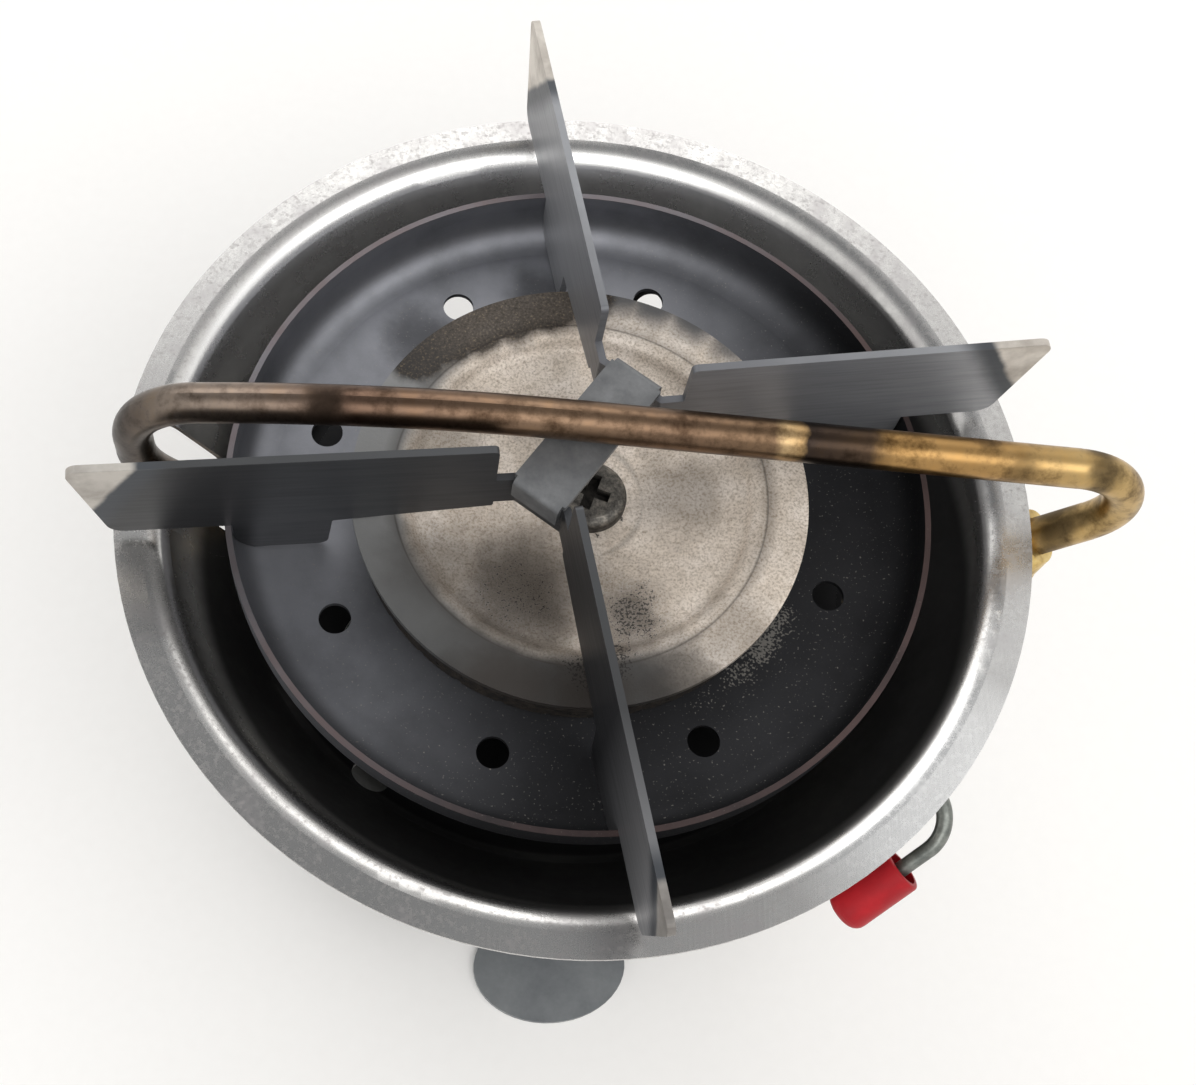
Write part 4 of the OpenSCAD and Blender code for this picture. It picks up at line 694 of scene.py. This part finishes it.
class STOVE_OT_finish_pump(bpy.types.Operator):
    """Finishes the pump and the filler"""
    bl_idname = "stove.finish_pump"
    bl_label = "Finish pump and filler"

    def execute(self, context):
        tones = linear("#8C8B88"), linear("#B0AFAB"), linear("#CBCAC6")
        plated = dull_sheet_steel("bright plated steel", tones, 1.0, (0.38, 0.24))
        dress(plated, "pump_barrel", "pump_rod", "cup_retainer", "check_ball", "filler_neck", "filler_cap")
        dress(black_moulded_plastic(), "barrel_cap", "pump_knob")
        dress(oiled_leather(), "pump_cup")
        return {"FINISHED"}


class STOVE_OT_finish_grate(bpy.types.Operator):
    """Finishes the two bent strips and the strap between them"""
    bl_idname = "stove.finish_grate"
    bl_label = "Finish grate"

    def execute(self, context):
        look = context.scene.stove_finish
        dress(dark_plated_strip("dark plated long strip", look, 84 * MM), "grate_long")
        dress(dark_plated_strip("dark plated short strip", look, 80 * MM), "grate_short")
        tones = linear("#606163"), linear("#6F7071"), linear("#7E7F80")
        dress(dull_sheet_steel("dull strap steel", tones, 0.5, (0.6, 0.5), 5.0), "grate_strap")
        return {"FINISHED"}


class STOVE_OT_set_stage(bpy.types.Operator):
    """Lays the pale floor and places the lights and the camera"""
    bl_idname = "stove.set_stage"
    bl_label = "Set stage"

    def execute(self, context):
        stage = context.scene.stove_stage
        self.lay_floor(stage)
        self.light_sky(context.scene)
        self.hang_lamp("window light", WINDOW_PLACE, WINDOW_SIZE, stage.window_power)
        self.hang_lamp("ceiling light", CEILING_PLACE, CEILING_SIZE, stage.ceiling_power)
        self.place_camera(context.scene, stage)
        context.scene.view_settings.view_transform = "Standard"
        return {"FINISHED"}

    def lay_floor(self, stage):
        """Pale uncoated paper: white and dry, with a faint tooth, and it keeps the stove's shadow."""
        mesh = bpy.data.meshes.new("floor")
        floor = bpy.data.objects.new("floor", mesh)
        bpy.context.scene.collection.objects.link(floor)
        shape = bmesh.new()
        bmesh.ops.create_grid(shape, x_segments=1, y_segments=1, size=stage.floor_size / 2)
        bmesh.ops.translate(shape, verts=shape.verts, vec=(0, 0, -FLOOR_DROP))
        shape.to_mesh(mesh)
        shape.free()
        material, tree, shader, place = begin("pale paper floor", Roughness=0.9)
        tooth = add(tree, "TexNoise", {"Vector": place, "Scale": 1 / (3 * MM), "Detail": 3})
        shade = add(tree, "MapRange", {0: tooth, 1: 0.3, 2: 0.7, 3: 0.0, 4: 0.06})
        colour = add(tree, "Mix", {0: shade, 6: stage.floor_colour, 7: linear("#E6E3DF")},
                     data_type="RGBA", out=2)
        feed(tree, shader, Base_Color=colour)
        # away from the stove the floor is seen as plain white, so that no horizon shows
        far = add(tree, "MapRange", {0: radius_of(tree, place), 1: WHITE_FROM, 2: WHITE_AT},
                  interpolation_type="SMOOTHSTEP")
        far = add(tree, "Math", {0: far, 1: self.seen_directly(tree)}, operation="MULTIPLY")
        white = add(tree, "Emission", {0: linear("#FFFFFF"), 1: 1.0})
        blend = add(tree, "MixShader", {0: far, 1: shader.outputs[0], 2: white})
        tree.links.new(blend, tree.nodes["Material Output"].inputs["Surface"])
        mesh.materials.append(material)

    def seen_directly(self, tree):
        """1 for rays from the camera, from gloss and through glass."""
        rays = add(tree, "LightPath").node
        seen = add(tree, "Math", {0: rays.outputs["Is Camera Ray"], 1: rays.outputs["Is Glossy Ray"]},
                   operation="MAXIMUM")
        return add(tree, "Math", {0: seen, 1: rays.outputs["Is Transmission Ray"]}, operation="MAXIMUM")

    def light_sky(self, scene):
        """A white room with one dark patch of ceiling, high up behind the stove."""
        world = bpy.data.worlds.new("pale room")
        scene.world = world
        world.use_nodes = True
        tree = world.node_tree
        ground = tree.nodes["Background"]
        look_up = add(tree, "TexCoord", out="Generated")
        patch = add(tree, "VectorMath", {0: look_up, 1: DARK_CEILING}, operation="DOT_PRODUCT", out="Value")
        tint = add(tree, "ValToRGB", {0: patch}, stops=[
            (0.84, linear("#FFFFFF")), (0.9, linear("#D2D3D4")),
            (0.95, linear("#97999C")), (1.0, linear("#797B7E"))])
        strength = add(tree, "MapRange", {0: self.seen_directly(tree), 3: ROOM_LIGHT, 4: ROOM_SEEN})
        tree.links.new(tint, ground.inputs["Color"])
        tree.links.new(strength, ground.inputs["Strength"])

    def hang_lamp(self, name, place, size, power):
        """A wide soft lamp turned to the burner."""
        lamp = bpy.data.lights.new(name, "AREA")
        lamp.shape = "RECTANGLE"
        lamp.size, lamp.size_y = size
        lamp.energy = power
        hung = bpy.data.objects.new(name, lamp)
        hung.location = place
        aim = Vector(BURNER_MIDDLE) - Vector(place)
        hung.rotation_euler = aim.to_track_quat("-Z", "Y").to_euler()
        bpy.context.scene.collection.objects.link(hung)

    def place_camera(self, scene, stage):
        """The camera that took the photograph, as fitted to the stove's round edges."""
        camera = bpy.data.cameras.new("camera")
        camera.sensor_fit = "HORIZONTAL"
        camera.sensor_width = SENSOR_WIDTH
        camera.lens = stage.lens
        camera.shift_x, camera.shift_y = CAMERA_SHIFT
        camera.clip_start, camera.clip_end = CLIP
        held = bpy.data.objects.new("camera", camera)
        held.location = Vector(CAMERA_PLACE) * MM
        held.rotation_euler = Euler([math.radians(angle) for angle in CAMERA_TURN], "XYZ")
        scene.collection.objects.link(held)
        scene.camera = held


class STOVE_PT_finish(bpy.types.Panel):
    """Stove finish"""
    bl_idname = "STOVE_PT_finish"
    bl_label = "Stove"
    bl_space_type = "VIEW_3D"
    bl_region_type = "UI"
    bl_category = "Stove"

    def draw(self, context):
        for settings in (context.scene.stove_finish, context.scene.stove_stage):
            box = self.layout.box()
            for name in settings.__annotations__:
                box.prop(settings, name)
        for operator in OPERATORS:
            self.layout.operator(operator.bl_idname)


OPERATORS = (
    STOVE_OT_finish_tank,
    STOVE_OT_finish_bowl,
    STOVE_OT_fit_cheek,
    STOVE_OT_finish_burner,
    STOVE_OT_finish_generator,
    STOVE_OT_finish_lever,
    STOVE_OT_finish_pump,
    STOVE_OT_finish_grate,
    STOVE_OT_set_stage,
)
CLASSES = (StoveFinish, StoveStage, *OPERATORS, STOVE_PT_finish)


def register():
    for cls in CLASSES:
        bpy.utils.register_class(cls)
    bpy.types.Scene.stove_finish = bpy.props.PointerProperty(type=StoveFinish)
    bpy.types.Scene.stove_stage = bpy.props.PointerProperty(type=StoveStage)


def unregister():
    del bpy.types.Scene.stove_stage
    del bpy.types.Scene.stove_finish
    for cls in reversed(CLASSES):
        bpy.utils.unregister_class(cls)


def main():
    register()
    bpy.ops.stove.finish_tank()
    bpy.ops.stove.finish_bowl()
    bpy.ops.stove.fit_cheek()
    bpy.ops.stove.finish_burner()
    bpy.ops.stove.finish_generator()
    bpy.ops.stove.finish_lever()
    bpy.ops.stove.finish_pump()
    bpy.ops.stove.finish_grate()
    bpy.ops.stove.set_stage()


if __name__ == "__main__":
    main()
